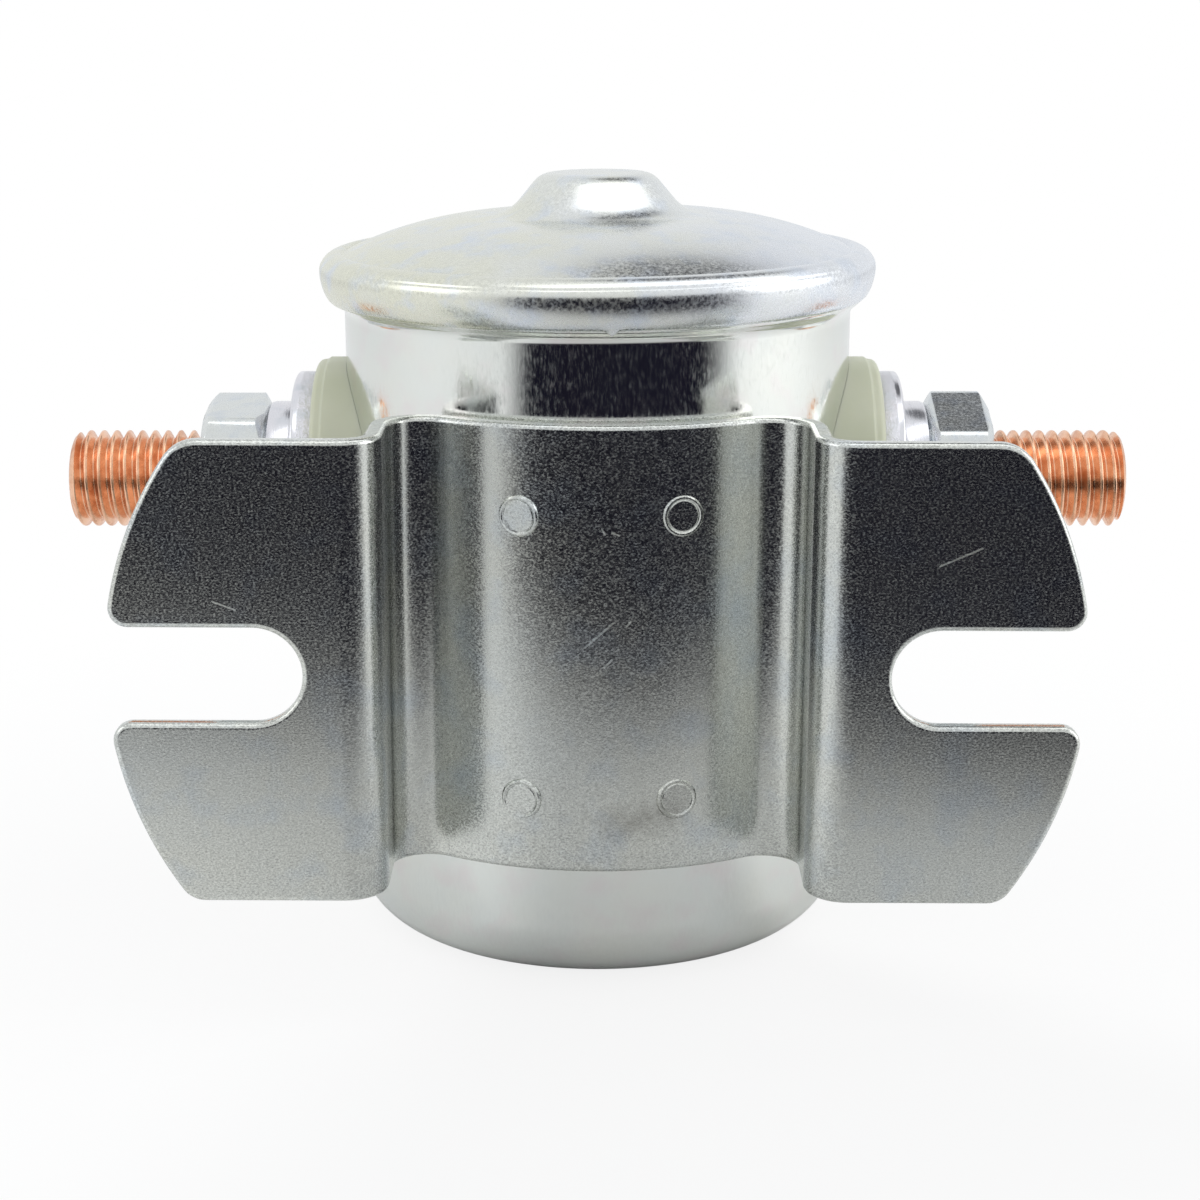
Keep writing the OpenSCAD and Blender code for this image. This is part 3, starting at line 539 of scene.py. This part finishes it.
bush = insulator("bush", 10.0, bush_face, 3.97, 5.5, 0.85)
small_bush = insulator("small_bush", 6.0, small_bush_face, 2.43, 3.61, 0.5)
for side, azimuth in main_sides:
    node = side + "_outer_insulator"
    fit(on_terminal(bush, side + "_insulator_bush", azimuth), "nylon", nylon, node)
for side, azimuth in control_sides:
    node = side + "_control_insulator"
    fit(on_terminal(small_bush, side + "_control_bush", azimuth), "nylon", nylon, node)
bpy.data.objects.remove(bush)
bpy.data.objects.remove(small_bush)
dress(nylon, "left_inner_insulator", "right_inner_insulator", "left_control_inner_insulator",
      "right_control_inner_insulator")


# Studs. Copper 5/16-24 UNF for the main current, with a square head inside the can, and plated
# steel No. 10-32 for the coil. The threads are rolled, so crests and roots are round.

thread_depth = 0.613
round_head_r = 3.6


def stud(name, r, pitch, low, tip, crest, head, square):
    """A stud on the Z axis: a head from low, a true helical thread, and a chamfer at the tip.
    crest is the radius that rounds the crests, head the head's height, and square its width, or 0
    for a round head."""
    depth = thread_depth * pitch
    root_round = (sqrt(3) / 2 * pitch - depth) - crest
    root = r - depth
    profile = arc(root + root_round, 0, root_round, 180, 120, 4)
    profile += arc(r - crest, pitch / 2, crest, -60, 60, 8)
    profile += arc(root + root_round, pitch, root_round, 240, 180, 4)
    start = low + head / 2
    spare_turns = 2
    piece = drawn(name, [(x, 0, z + start - spare_turns * pitch) for x, z in profile])
    bpy.ops.object.mode_set(mode="OBJECT")
    only(piece)
    screw = piece.modifiers.new("thread", "SCREW")
    screw.axis = "Z"
    screw.angle = 2 * pi
    screw.screw_offset = pitch * mm
    screw.iterations = int((tip - start) / pitch) + 2 * spare_turns
    screw.steps = screw.render_steps = 72
    screw.use_merge_vertices = True
    screw.merge_threshold = 0.0005 * mm
    bpy.ops.object.modifier_apply(modifier=screw.name)
    bpy.ops.object.mode_set(mode="EDIT")
    bpy.ops.mesh.select_all(action="SELECT")
    bpy.ops.mesh.remove_doubles(threshold=0.0005 * mm)
    bpy.ops.mesh.bisect(plane_co=(0, 0, start * mm), plane_no=(0, 0, 1), use_fill=True,
                        clear_inner=True, threshold=0.0001 * mm)
    bpy.ops.mesh.select_all(action="SELECT")
    bpy.ops.mesh.bisect(plane_co=(0, 0, (tip + 0.4) * mm), plane_no=(0, 0, 1), use_fill=True,
                        clear_outer=True, threshold=0.0001 * mm)
    bpy.ops.mesh.select_all(action="SELECT")
    bpy.ops.mesh.normals_make_consistent(inside=False)
    bpy.ops.object.mode_set(mode="OBJECT")
    ends = turned("ends", [(0, low - 1), (r + 1, low - 1), (r + 1, tip - depth - 1.3),
                           (r - 0.05, tip - depth * 0.8), (root + 0.2, tip - 0.14),
                           (root - 0.1, tip - 0.02), (root * 0.6, tip), (0, tip)], 144)
    cut(piece, ends, "INTERSECT", "MANIFOLD")
    bpy.ops.object.select_all(action="DESELECT")
    if square:
        bpy.ops.mesh.primitive_cube_add(size=1, location=(0, 0, (low + head / 2) * mm),
                                        scale=(square * mm, square * mm, head * mm))
    else:
        bpy.ops.mesh.primitive_cylinder_add(vertices=64, radius=round_head_r * mm,
                                            depth=head * mm,
                                            location=(0, 0, (low + head / 2) * mm))
    block = bpy.context.object
    bpy.ops.object.transform_apply(location=True, rotation=True, scale=True)
    soften(block, 0.3, 3)
    cut(piece, block, "UNION", "MANIFOLD")
    return smooth(piece, 40)


# Bare copper, thread rolled: warm and glossy, with darker handling stains and fine specks.
copper, tree, shader, place = new_material("bare_copper_rolled")
stain = add(tree, "ShaderNodeTexNoise", {"Vector": place, "Scale": 1 / (1.6 * mm), "Detail": 5.0,
                                         "Roughness": 0.65})
share = add(tree, "ShaderNodeMapRange", {"Value": stain.outputs["Fac"], "From Min": 0.42,
                                         "From Max": 0.7})
tint = add(tree, "ShaderNodeMix", {0: share.outputs["Result"], 6: linear("#f7c6a5"),
                                   7: linear("#d89a74")}, data_type="RGBA")
rough = add(tree, "ShaderNodeMapRange", {"Value": stain.outputs["Fac"], **swing,
                                         "To Min": 0.16, "To Max": 0.34})
grit = add(tree, "ShaderNodeTexNoise", {"Vector": place, "Scale": 1 / (0.12 * mm), "Detail": 2.0})
relief = add(tree, "ShaderNodeBump", {"Height": grit.outputs["Fac"], "Distance": 0.004 * mm})
feed(tree, shader, {"Base Color": tint.outputs[2], "Roughness": rough.outputs["Result"],
                    "Normal": relief.outputs["Normal"], "Metallic": 1.0})

# Bright zinc on small fasteners: glossy, with the marks of wire drawing along their axis.
fastener_zinc = zinc_plate("bright_zinc_on_drawn_wire", ("#dfe1e6", "#e3dfe3", "#d3d6dc"),
                           (0.12, 0.3), 0.2, 0.012, (1.0, 0.08, 0.08), 3.0)
main_stud = stud("main_stud", 3.95, 1.058, 12.4, 43.0, 0.17, 3.6, 10)
small_stud = stud("small_stud", 2.41, 0.794, 15.5, 33.0, 0.12, 2.2, 0)
for side, azimuth in main_sides:
    fit(on_terminal(main_stud, side + "_copper_stud", azimuth), "copper_stud", copper,
        side + "_main_stud")
for side, azimuth in control_sides:
    fit(on_terminal(small_stud, side + "_coil_stud", azimuth), "steel_stud", fastener_zinc,
        side + "_control_stud")
bpy.data.objects.remove(main_stud)
bpy.data.objects.remove(small_stud)


# Washers. Flat ones blanked from sheet, smooth where the punch rolled the rim and rough where the
# steel tore, and split ones coiled from square wire.

def flat_washer(name, r, t, base, bore):
    """A blanked washer on the Z axis from height base: rolled edge on top, burr below."""
    outline = [(bore, base + 0.1), (bore + 0.1, base), (r - 0.05, base), (r, base + 0.08),
               (r, base + t * 0.6)]
    outline += arc(r - 0.32, base + t - 0.4, 0.32, 0, 90, 5)
    outline += [(bore + 0.35, base + t - 0.02), (bore, base + t - 0.3)]
    return level(smooth(turned(name, outline), 40))


def split_washer(name, r, t, base, bore):
    """A coiled spring washer on the Z axis from height base, cut through on a slant."""
    outline = [(bore, base + 0.15), (bore + 0.2, base), (r - 0.3, base), (r - 0.08, base + 0.1),
               (r, base + 0.35), (r, base + t - 0.35), (r - 0.08, base + t - 0.1),
               (r - 0.3, base + t), (bore + 0.2, base + t), (bore, base + t - 0.15)]
    piece = turned(name, outline)
    slit_w, slit_slant = 0.8, 28
    bpy.ops.object.select_all(action="DESELECT")
    bpy.ops.mesh.primitive_cube_add(size=1, location=(-r * mm, 0, (base + t / 2) * mm),
                                    rotation=(radians(slit_slant), 0, 0),
                                    scale=(2 * r * mm, slit_w * mm, 4 * t * mm))
    slit = bpy.context.object
    bpy.ops.object.transform_apply(location=True, rotation=True, scale=True)
    cut(piece, slit)
    soften(piece, 0.08, 2, 50)
    return level(smooth(piece, 35))


plain_t, spring_t, small_washer_t = 1.8, 2.15, 1.1
spring_base = bush_face + plain_t
small_spring_base = small_bush_face + small_washer_t
plain = flat_washer("plain", 8.8, plain_t, bush_face, 4.25)
small_plain = flat_washer("small_plain", 5.25, small_washer_t, small_bush_face, 2.71)
spring = split_washer("spring", 6.35, spring_t, spring_base, 4.25)
small_spring = split_washer("small_spring", 4.25, small_washer_t, small_spring_base, 2.71)

# Bright zinc on blanked steel: glossy where the punch slid, and rough over the torn two thirds of
# the rim next to the insulator.
blanked_zinc = zinc_plate("bright_zinc_on_blanked_steel", ("#dfe1e6", "#e3dfe3", "#d3d6dc"),
                          (0.12, 0.26), 0.2, 0.002, (1.0, 0.1, 0.1), 3.0)
tree = blanked_zinc.node_tree
shader = tree.nodes["Principled BSDF"]
place = add(tree, "ShaderNodeTexCoord", {}).outputs["Object"]
across = add(tree, "ShaderNodeSeparateXYZ", {"Vector": place})
out = add(tree, "ShaderNodeMath", {0: across.outputs["X"]}, operation="ABSOLUTE")
torn_end, torn_blur, torn_depth = bush_face + plain_t * 0.62, 0.05, 0.16
torn = add(tree, "ShaderNodeMapRange", {"Value": out.outputs["Value"],
                                        "From Min": (torn_end + torn_blur) * mm,
                                        "From Max": (torn_end - torn_blur) * mm,
                                        "To Max": torn_depth * mm})
tears = add(tree, "ShaderNodeTexNoise", {"Vector": place, "Scale": 1 / (0.38 * mm), "Detail": 4.0,
                                         "Roughness": 0.7})
even = shader.inputs["Normal"].links[0].from_socket
relief = add(tree, "ShaderNodeBump", {"Height": tears.outputs["Fac"], "Normal": even,
                                      "Distance": torn.outputs["Result"]})
feed(tree, shader, {"Normal": relief.outputs["Normal"]})
slit_turn = 215
for side, azimuth in main_sides:
    fit(on_terminal(plain, side + "_plain_washer", azimuth), "zinc_hardware", blanked_zinc,
        side + "_flat_washer")
    fit(on_terminal(spring, side + "_spring_washer", azimuth, slit_turn), "zinc_hardware",
        fastener_zinc, side + "_lock_washer")
for side, azimuth in control_sides:
    fit(on_terminal(small_plain, side + "_control_plain_washer", azimuth), "zinc_hardware",
        fastener_zinc, side + "_control_washer")
    fit(on_terminal(small_spring, side + "_control_spring_washer", azimuth, slit_turn),
        "zinc_hardware", fastener_zinc, side + "_control_lock_washer")
for template in (plain, small_plain, spring, small_spring):
    bpy.data.objects.remove(template)


# Nuts. Cold formed hexagons in bright zinc, chamfered at 30 degrees on both faces and countersunk
# at the bore.

chamfer_slope = 0.577


def nut(name, across, t, base, bore, worn):
    """A nut on the Z axis from height base, with its six corners rounded by worn."""
    bpy.ops.object.select_all(action="DESELECT")
    bpy.ops.mesh.primitive_cylinder_add(vertices=6, radius=across / sqrt(3) * mm, depth=t * mm,
                                        location=(0, 0, (base + t / 2) * mm),
                                        rotation=(0, 0, radians(90)))
    piece = bpy.context.object
    piece.name = piece.data.name = name
    bpy.ops.object.transform_apply(location=True, rotation=True, scale=True)
    soften(piece, worn, 5)
    flat, wide = across / 2 * 0.93, across / sqrt(3) + 0.5
    drop = (wide - flat) * chamfer_slope
    barrel = turned("barrel", [
        (bore, base + 0.3), (bore + 0.35, base - 0.01), (flat, base - 0.01), (wide, base + drop),
        (wide, base + t - drop), (flat, base + t + 0.01), (bore + 0.35, base + t + 0.01),
        (bore, base + t - 0.3)])
    cut(piece, barrel, "INTERSECT")
    soften(piece, 0.16, 2, 24)
    return level(smooth(piece, 30))


# Bright zinc on a barrel-plated nut: the faces are peened into small bright and dark spots.
nut_zinc = zinc_plate("bright_zinc_on_cold_formed_nuts", ("#d6dbe0", "#dedfd8", "#cdd3da"),
                      (0.08, 0.34), 0.2, 0.006, (1.0, 1.0, 1.0), 3.0, 0.01, 0.9, fleck=0.05)
main_nut = nut("main_nut", 12.7, 5.2, spring_base + spring_t, 3.97, 0.7)
small_nut = nut("small_nut", 9.5, 3.3, small_spring_base + small_washer_t, 2.43, 0.35)
for (side, azimuth), turn in zip(main_sides, (21, -10)):
    fit(on_terminal(main_nut, side + "_hexagon_nut", azimuth, turn), "zinc_hardware",
        nut_zinc, side + "_nut")
for side, azimuth in control_sides:
    fit(on_terminal(small_nut, side + "_control_hexagon_nut", azimuth), "zinc_hardware",
        nut_zinc, side + "_control_nut")
bpy.data.objects.remove(main_nut)
bpy.data.objects.remove(small_nut)


# Cap gasket. A flat ring cut from black nitrile rubber sheet and squeezed between can and cap.

gasket_rubber, tree, shader, place = new_material("nitrile_rubber_cut_sheet")
bloom = add(tree, "ShaderNodeTexNoise", {"Vector": place, "Scale": 1 / (2.5 * mm), "Detail": 4.0})
tint = add(tree, "ShaderNodeMix", {0: bloom.outputs["Fac"], 6: linear("#1b1b1c"),
                                   7: linear("#2c2b2b")}, data_type="RGBA")
cloth_mark = add(tree, "ShaderNodeTexNoise", {"Vector": place, "Scale": 1 / (0.15 * mm)})
relief = add(tree, "ShaderNodeBump", {"Height": cloth_mark.outputs["Fac"],
                                      "Distance": 0.01 * mm})
feed(tree, shader, {"Base Color": tint.outputs[2], "Normal": relief.outputs["Normal"],
                    "Roughness": 0.68, "IOR": 1.52})
dress(gasket_rubber, "cap_gasket")


# Magnet. The pole core, plunger and stem are turned from soft iron and the flux plate is blanked
# from it. The tool leaves fine rings, and a film of oil darkens the grey.

soft_iron, tree, shader, place = new_material("soft_iron_turned")
film = add(tree, "ShaderNodeTexNoise", {"Vector": place, "Scale": 1 / (3.0 * mm), "Detail": 4.0})
tint = add(tree, "ShaderNodeMix", {0: film.outputs["Fac"], 6: linear("#7d7c79"),
                                   7: linear("#a09f9c")}, data_type="RGBA")
# A wave texture repeats every pi / (10 x scale).
ring_pitch = 0.18
rings = add(tree, "ShaderNodeTexWave", {"Vector": place, "Scale": pi / (10 * ring_pitch * mm),
                                        "Distortion": 0.4}, wave_type="RINGS",
            rings_direction="Z")
relief = add(tree, "ShaderNodeBump", {"Height": rings.outputs["Fac"], "Distance": 0.006 * mm})
rough = add(tree, "ShaderNodeMapRange", {"Value": film.outputs["Fac"], **swing,
                                         "To Min": 0.24, "To Max": 0.42})
feed(tree, shader, {"Base Color": tint.outputs[2], "Normal": relief.outputs["Normal"],
                    "Roughness": rough.outputs["Result"], "Metallic": 1.0})
dress(soft_iron, "pole_core", "flux_plate", "plunger_core", "plunger_stem")


# Coil. Enamelled copper wire in layers on a bobbin moulded from glass-filled nylon, held by a lap
# of polyester tape. The wire's two ends run up to the control studs.

# Moulded nylon, filled with glass: dull, with the fibres as pale flecks.
bobbin_nylon, tree, shader, place = new_material("glass_filled_nylon_moulded")
fibres = add(tree, "ShaderNodeTexNoise", {"Vector": place, "Scale": 1 / (0.35 * mm),
                                          "Detail": 5.0, "Roughness": 0.7})
tint = add(tree, "ShaderNodeMix", {0: fibres.outputs["Fac"], 6: linear("#cfc8b0"),
                                   7: linear("#e2dcc8")}, data_type="RGBA")
relief = add(tree, "ShaderNodeBump", {"Height": fibres.outputs["Fac"], "Distance": 0.008 * mm})
feed(tree, shader, {"Base Color": tint.outputs[2], "Normal": relief.outputs["Normal"],
                    "Roughness": 0.5, "IOR": 1.55})
dress(bobbin_nylon, "coil_bobbin")

# Enamelled wire, wound: glossy copper in close turns, with painted shade darkening the grooves
# between them.
magnet_wire, tree, shader, place = new_material("enamelled_copper_wire_wound")
wire_pitch = 0.45
turns_and_groove_shade = add(tree, "ShaderNodeTexWave", {"Vector": place, "Scale": pi / (10 * wire_pitch * mm),
                                        "Distortion": 0.15}, wave_type="BANDS",
            bands_direction="Z")
# Painted shade: the colour runs from dark in the grooves to light on each turn.
tint = add(tree, "ShaderNodeMix", {0: turns_and_groove_shade.outputs["Fac"], 6: linear("#5c2410"),
                                   7: linear("#b8622f")}, data_type="RGBA")
relief = add(tree, "ShaderNodeBump", {"Height": turns_and_groove_shade.outputs["Fac"], "Distance": 0.12 * mm})
feed(tree, shader, {"Base Color": tint.outputs[2], "Normal": relief.outputs["Normal"],
                    "Metallic": 1.0, "Roughness": 0.25})
dress(magnet_wire, "coil_winding", "left_coil_lead", "right_coil_lead")

# Polyester tape, wrapped: a smooth amber film with an edge at each lap.
coil_wrap, tree, shader, place = new_material("polyester_tape_wrapped")
lap_width = 6.0
laps = add(tree, "ShaderNodeTexWave", {"Vector": place, "Scale": pi / (10 * lap_width * mm)},
           wave_type="BANDS", bands_direction="Z", wave_profile="SAW")
tint = add(tree, "ShaderNodeMix", {0: laps.outputs["Fac"], 6: linear("#b98f33"),
                                   7: linear("#d2ab4c")}, data_type="RGBA")
relief = add(tree, "ShaderNodeBump", {"Height": laps.outputs["Fac"], "Distance": 0.05 * mm})
feed(tree, shader, {"Base Color": tint.outputs[2], "Normal": relief.outputs["Normal"],
                    "Roughness": 0.38})
dress(coil_wrap, "coil_tape")


# Moving contact and springs. A disc blanked from copper, insulated from the stem by a bush of
# cotton-filled phenolic, with its spring, the return spring, their seat and the clip.

# Phenolic, turned: brown, with the weave of its cotton just showing.
phenolic, tree, shader, place = new_material("cotton_filled_phenolic_turned")
weave = add(tree, "ShaderNodeTexVoronoi", {"Vector": place, "Scale": 1 / (0.4 * mm)})
tint = add(tree, "ShaderNodeMix", {0: weave.outputs["Distance"], 6: linear("#4b2a18"),
                                   7: linear("#7a4d2e")}, data_type="RGBA")
feed(tree, shader, {"Base Color": tint.outputs[2], "Roughness": 0.46, "IOR": 1.6})
dress(phenolic, "stem_bush")
dress(copper, "contact_disc")

# Spring steel, drawn to wire: grey and fairly glossy, with the die's faint marks.
spring_steel, tree, shader, place = new_material("spring_steel_drawn_wire")
drag = add(tree, "ShaderNodeTexNoise", {"Vector": place, "Scale": 1 / (0.25 * mm), "Detail": 4.0})
tint = add(tree, "ShaderNodeMix", {0: drag.outputs["Fac"], 6: linear("#6f7276"),
                                   7: linear("#a2a6aa")}, data_type="RGBA")
rough = add(tree, "ShaderNodeMapRange", {"Value": drag.outputs["Fac"], **swing,
                                         "To Min": 0.2, "To Max": 0.36})
feed(tree, shader, {"Base Color": tint.outputs[2], "Roughness": rough.outputs["Result"],
                    "Metallic": 1.0})
dress(spring_steel, "spring_seat", "retaining_clip")
spring_turns = 5


def coil_spring(node, r, wire, low, high):
    """A spring of round wire about the Z axis, pressed between the two bodies it rests on."""
    bpy.ops.object.select_all(action="DESELECT")
    bpy.ops.mesh.primitive_circle_add(vertices=16, radius=wire / 2 * mm, rotation=(pi / 2, 0, 0),
                                      location=(r * mm, 0, (low + wire / 2) * mm))
    piece = bpy.context.object
    piece.name = piece.data.name = node + "_coil"
    bpy.ops.object.transform_apply(location=True, rotation=True, scale=True)
    wound = piece.modifiers.new("wound", "SCREW")
    wound.steps = wound.render_steps = 48
    wound.iterations = spring_turns
    wound.screw_offset = (high - low - wire) / spring_turns * mm
    bpy.ops.object.modifier_apply(modifier=wound.name)
    bpy.ops.object.mode_set(mode="EDIT")
    bpy.ops.mesh.select_all(action="SELECT")
    bpy.ops.mesh.fill_holes(sides=0)
    bpy.ops.mesh.select_all(action="SELECT")
    bpy.ops.mesh.normals_make_consistent(inside=False)
    bpy.ops.object.mode_set(mode="OBJECT")
    smooth(piece, 50)
    piece.data.materials.append(spring_steel)
    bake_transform(piece)
    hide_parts(node)


coil_spring("return_spring", 3.3, 0.8, 5.8, 19.3)
coil_spring("contact_spring", 4.05, 0.7, 45.12, 50.62)


# Studio. A white board under the relay, greyed in front by painted shade and darkened further out
# in front by a painted shadow.
# Round it is a pale tent with two dark gaps: one low in front, where the camera stands, and one
# high behind.

soft = {"interpolation_type": "SMOOTHSTEP"}


def bearings(tree, axes, edges):
    """For each pair of bearings in degrees, from -Y towards +X, a share that rises from 0 to 1."""
    ahead = add(tree, "ShaderNodeMath", {0: axes.outputs["Y"], 1: -1.0}, operation="MULTIPLY")
    turn = add(tree, "ShaderNodeMath", {0: axes.outputs["X"], 1: ahead.outputs["Value"]},
               operation="ARCTAN2")
    return [add(tree, "ShaderNodeMapRange", {"Value": turn.outputs["Value"],
                                             "From Min": radians(start), "From Max": radians(end)},
                **soft).outputs["Result"] for start, end in edges]


bpy.ops.object.select_all(action="DESELECT")
bpy.ops.mesh.primitive_grid_add(x_subdivisions=8, y_subdivisions=8, size=3, location=(0, 0, 0))
board = bpy.context.object
board.name = "white_board"
material, tree, shader, place = new_material("white_board_matt")
axes = add(tree, "ShaderNodeSeparateXYZ", {"Vector": place})
# Painted shade: the board is greyed in a wedge in front of the relay, where the camera and
# photographer shade it.
right, left, middle = bearings(tree, axes, ((66, 44), (-46, -10), (-42, -28)))
shade_wedge = add(tree, "ShaderNodeMath", {0: left, 1: right}, operation="MULTIPLY")
front_shade = add(tree, "ShaderNodeMix", {0: shade_wedge.outputs["Value"], 6: linear("#f2f2f2"),
                                   7: linear("#cfcfcf")}, data_type="RGBA")

# The painted shadow's near edge runs a little askew, and the shadow shows in the reflections alone.
board_skew, shadow_begins, shadow_full = -0.3, -0.072, -0.124
line = add(tree, "ShaderNodeMath", {0: axes.outputs["X"], 1: board_skew, 2: axes.outputs["Y"]},
           operation="MULTIPLY_ADD")
beyond = add(tree, "ShaderNodeMapRange", {"Value": line.outputs["Value"], "From Min": shadow_begins,
                                          "From Max": shadow_full}, **soft)
# Painted shadow: further out in front the board turns nearly black, where the camera and
# photographer shade it.
between = add(tree, "ShaderNodeMath", {0: middle, 1: right}, operation="MULTIPLY")
front_shadow = add(tree, "ShaderNodeMath", {0: beyond.outputs["Result"], 1: between.outputs["Value"]},
            operation="MULTIPLY")
tint = add(tree, "ShaderNodeMix", {0: front_shadow.outputs["Value"], 6: front_shade.outputs[2],
                                   7: linear("#1a1924")}, data_type="RGBA")
feed(tree, shader, {"Base Color": tint.outputs[2], "Roughness": 0.8, "Specular IOR Level": 0.0})

# To the camera the board is plain white, but for the relay's shadow close to it.
seen = add(tree, "ShaderNodeLightPath", {})
far = add(tree, "ShaderNodeVectorMath", {0: place}, operation="LENGTH")
fade = add(tree, "ShaderNodeMapRange", {"Value": far.outputs["Value"], "From Min": 0.05,
                                        "From Max": 0.11, "To Min": 0.85, "To Max": 1.0}, **soft)
white = add(tree, "ShaderNodeMath", {0: fade.outputs["Result"], 1: seen.outputs["Is Camera Ray"]},
            operation="MULTIPLY")
glow = add(tree, "ShaderNodeEmission", {"Color": (1, 1, 1, 1), "Strength": 1.0})
shown = add(tree, "ShaderNodeMixShader", {0: white.outputs["Value"],
                                          1: shader.outputs["BSDF"], 2: glow.outputs["Emission"]})
feed(tree, tree.nodes["Material Output"], {"Surface": shown.outputs["Shader"]})
board.data.materials.append(material)

world = bpy.data.worlds.new("studio_tent")
bpy.context.scene.world = world
world.use_nodes = True
tree = world.node_tree
direction = add(tree, "ShaderNodeTexCoord", {}).outputs["Generated"]
axes = add(tree, "ShaderNodeSeparateXYZ", {"Vector": direction})
right, left = bearings(tree, axes, ((68, 42), (-42, -28)))
front = add(tree, "ShaderNodeMath", {0: left, 1: right}, operation="MULTIPLY")
under = add(tree, "ShaderNodeMapRange", {"Value": axes.outputs["Z"], "From Min": 0.20,
                                         "From Max": 0.08}, **soft)
front_gap = add(tree, "ShaderNodeMath", {0: front.outputs["Value"], 1: under.outputs["Result"]},
                operation="MULTIPLY")
back_gap_at = (0.196, 0.539, 0.819)
toward = add(tree, "ShaderNodeVectorMath", {0: direction, 1: back_gap_at},
             operation="DOT_PRODUCT")
back_gap = add(tree, "ShaderNodeMapRange", {"Value": toward.outputs["Value"], "From Min": 0.955,
                                            "From Max": 0.99, "To Max": 0.85}, **soft)
dark = add(tree, "ShaderNodeMath", {0: front_gap.outputs["Value"], 1: back_gap.outputs["Result"]},
           operation="MAXIMUM")
tent = add(tree, "ShaderNodeMix", {0: dark.outputs["Value"], 6: linear("#f4f6f8"),
                                   7: linear("#1b1a24")}, data_type="RGBA")
seen = add(tree, "ShaderNodeLightPath", {})
shown = add(tree, "ShaderNodeMix", {0: seen.outputs["Is Camera Ray"], 6: tent.outputs[2],
                                    7: (1, 1, 1, 1)}, data_type="RGBA")
feed(tree, tree.nodes["Background"], {"Color": shown.outputs[2], "Strength": 1.0})

# Each softbox: where it stands in mm, how it is turned in degrees, its two sides in mm and its
# power in watts.
for name, place_mm, turned_by, sides_mm, power in (
        ("overhead_strip", (150, -20, 490), (0, 0, 25), (700, 180), 0.34),
        ("left_softbox", (-420, -120, 240), (64.3, 0, -74.1), (260, 260), 0.2),
        ("right_softbox", (360, -40, 170), (67.5, 0, 83.7), (260, 260), 0.3)):
    lamp = bpy.data.lights.new(name, "AREA")
    lamp.shape = "RECTANGLE"
    lamp.size, lamp.size_y = sides_mm[0] * mm, sides_mm[1] * mm
    lamp.energy = power
    holder = bpy.data.objects.new(name, lamp)
    bpy.context.scene.collection.objects.link(holder)
    holder.location = Vector(place_mm) * mm
    holder.rotation_euler = [radians(a) for a in turned_by]

# The camera stands 195 mm in front of the can's axis and looks down at 14.44 degrees.
lens = bpy.data.cameras.new("camera")
lens.lens = 72.17
lens.sensor_width = 36
lens.clip_start = 0.01
camera = bpy.data.objects.new("camera", lens)
bpy.context.scene.collection.objects.link(camera)
camera.location = (0.0002, -0.195, 0.0764)
camera.rotation_euler = (radians(90 - 14.44), 0, 0)
bpy.context.scene.camera = camera
bpy.context.scene.view_settings.view_transform = "Standard"
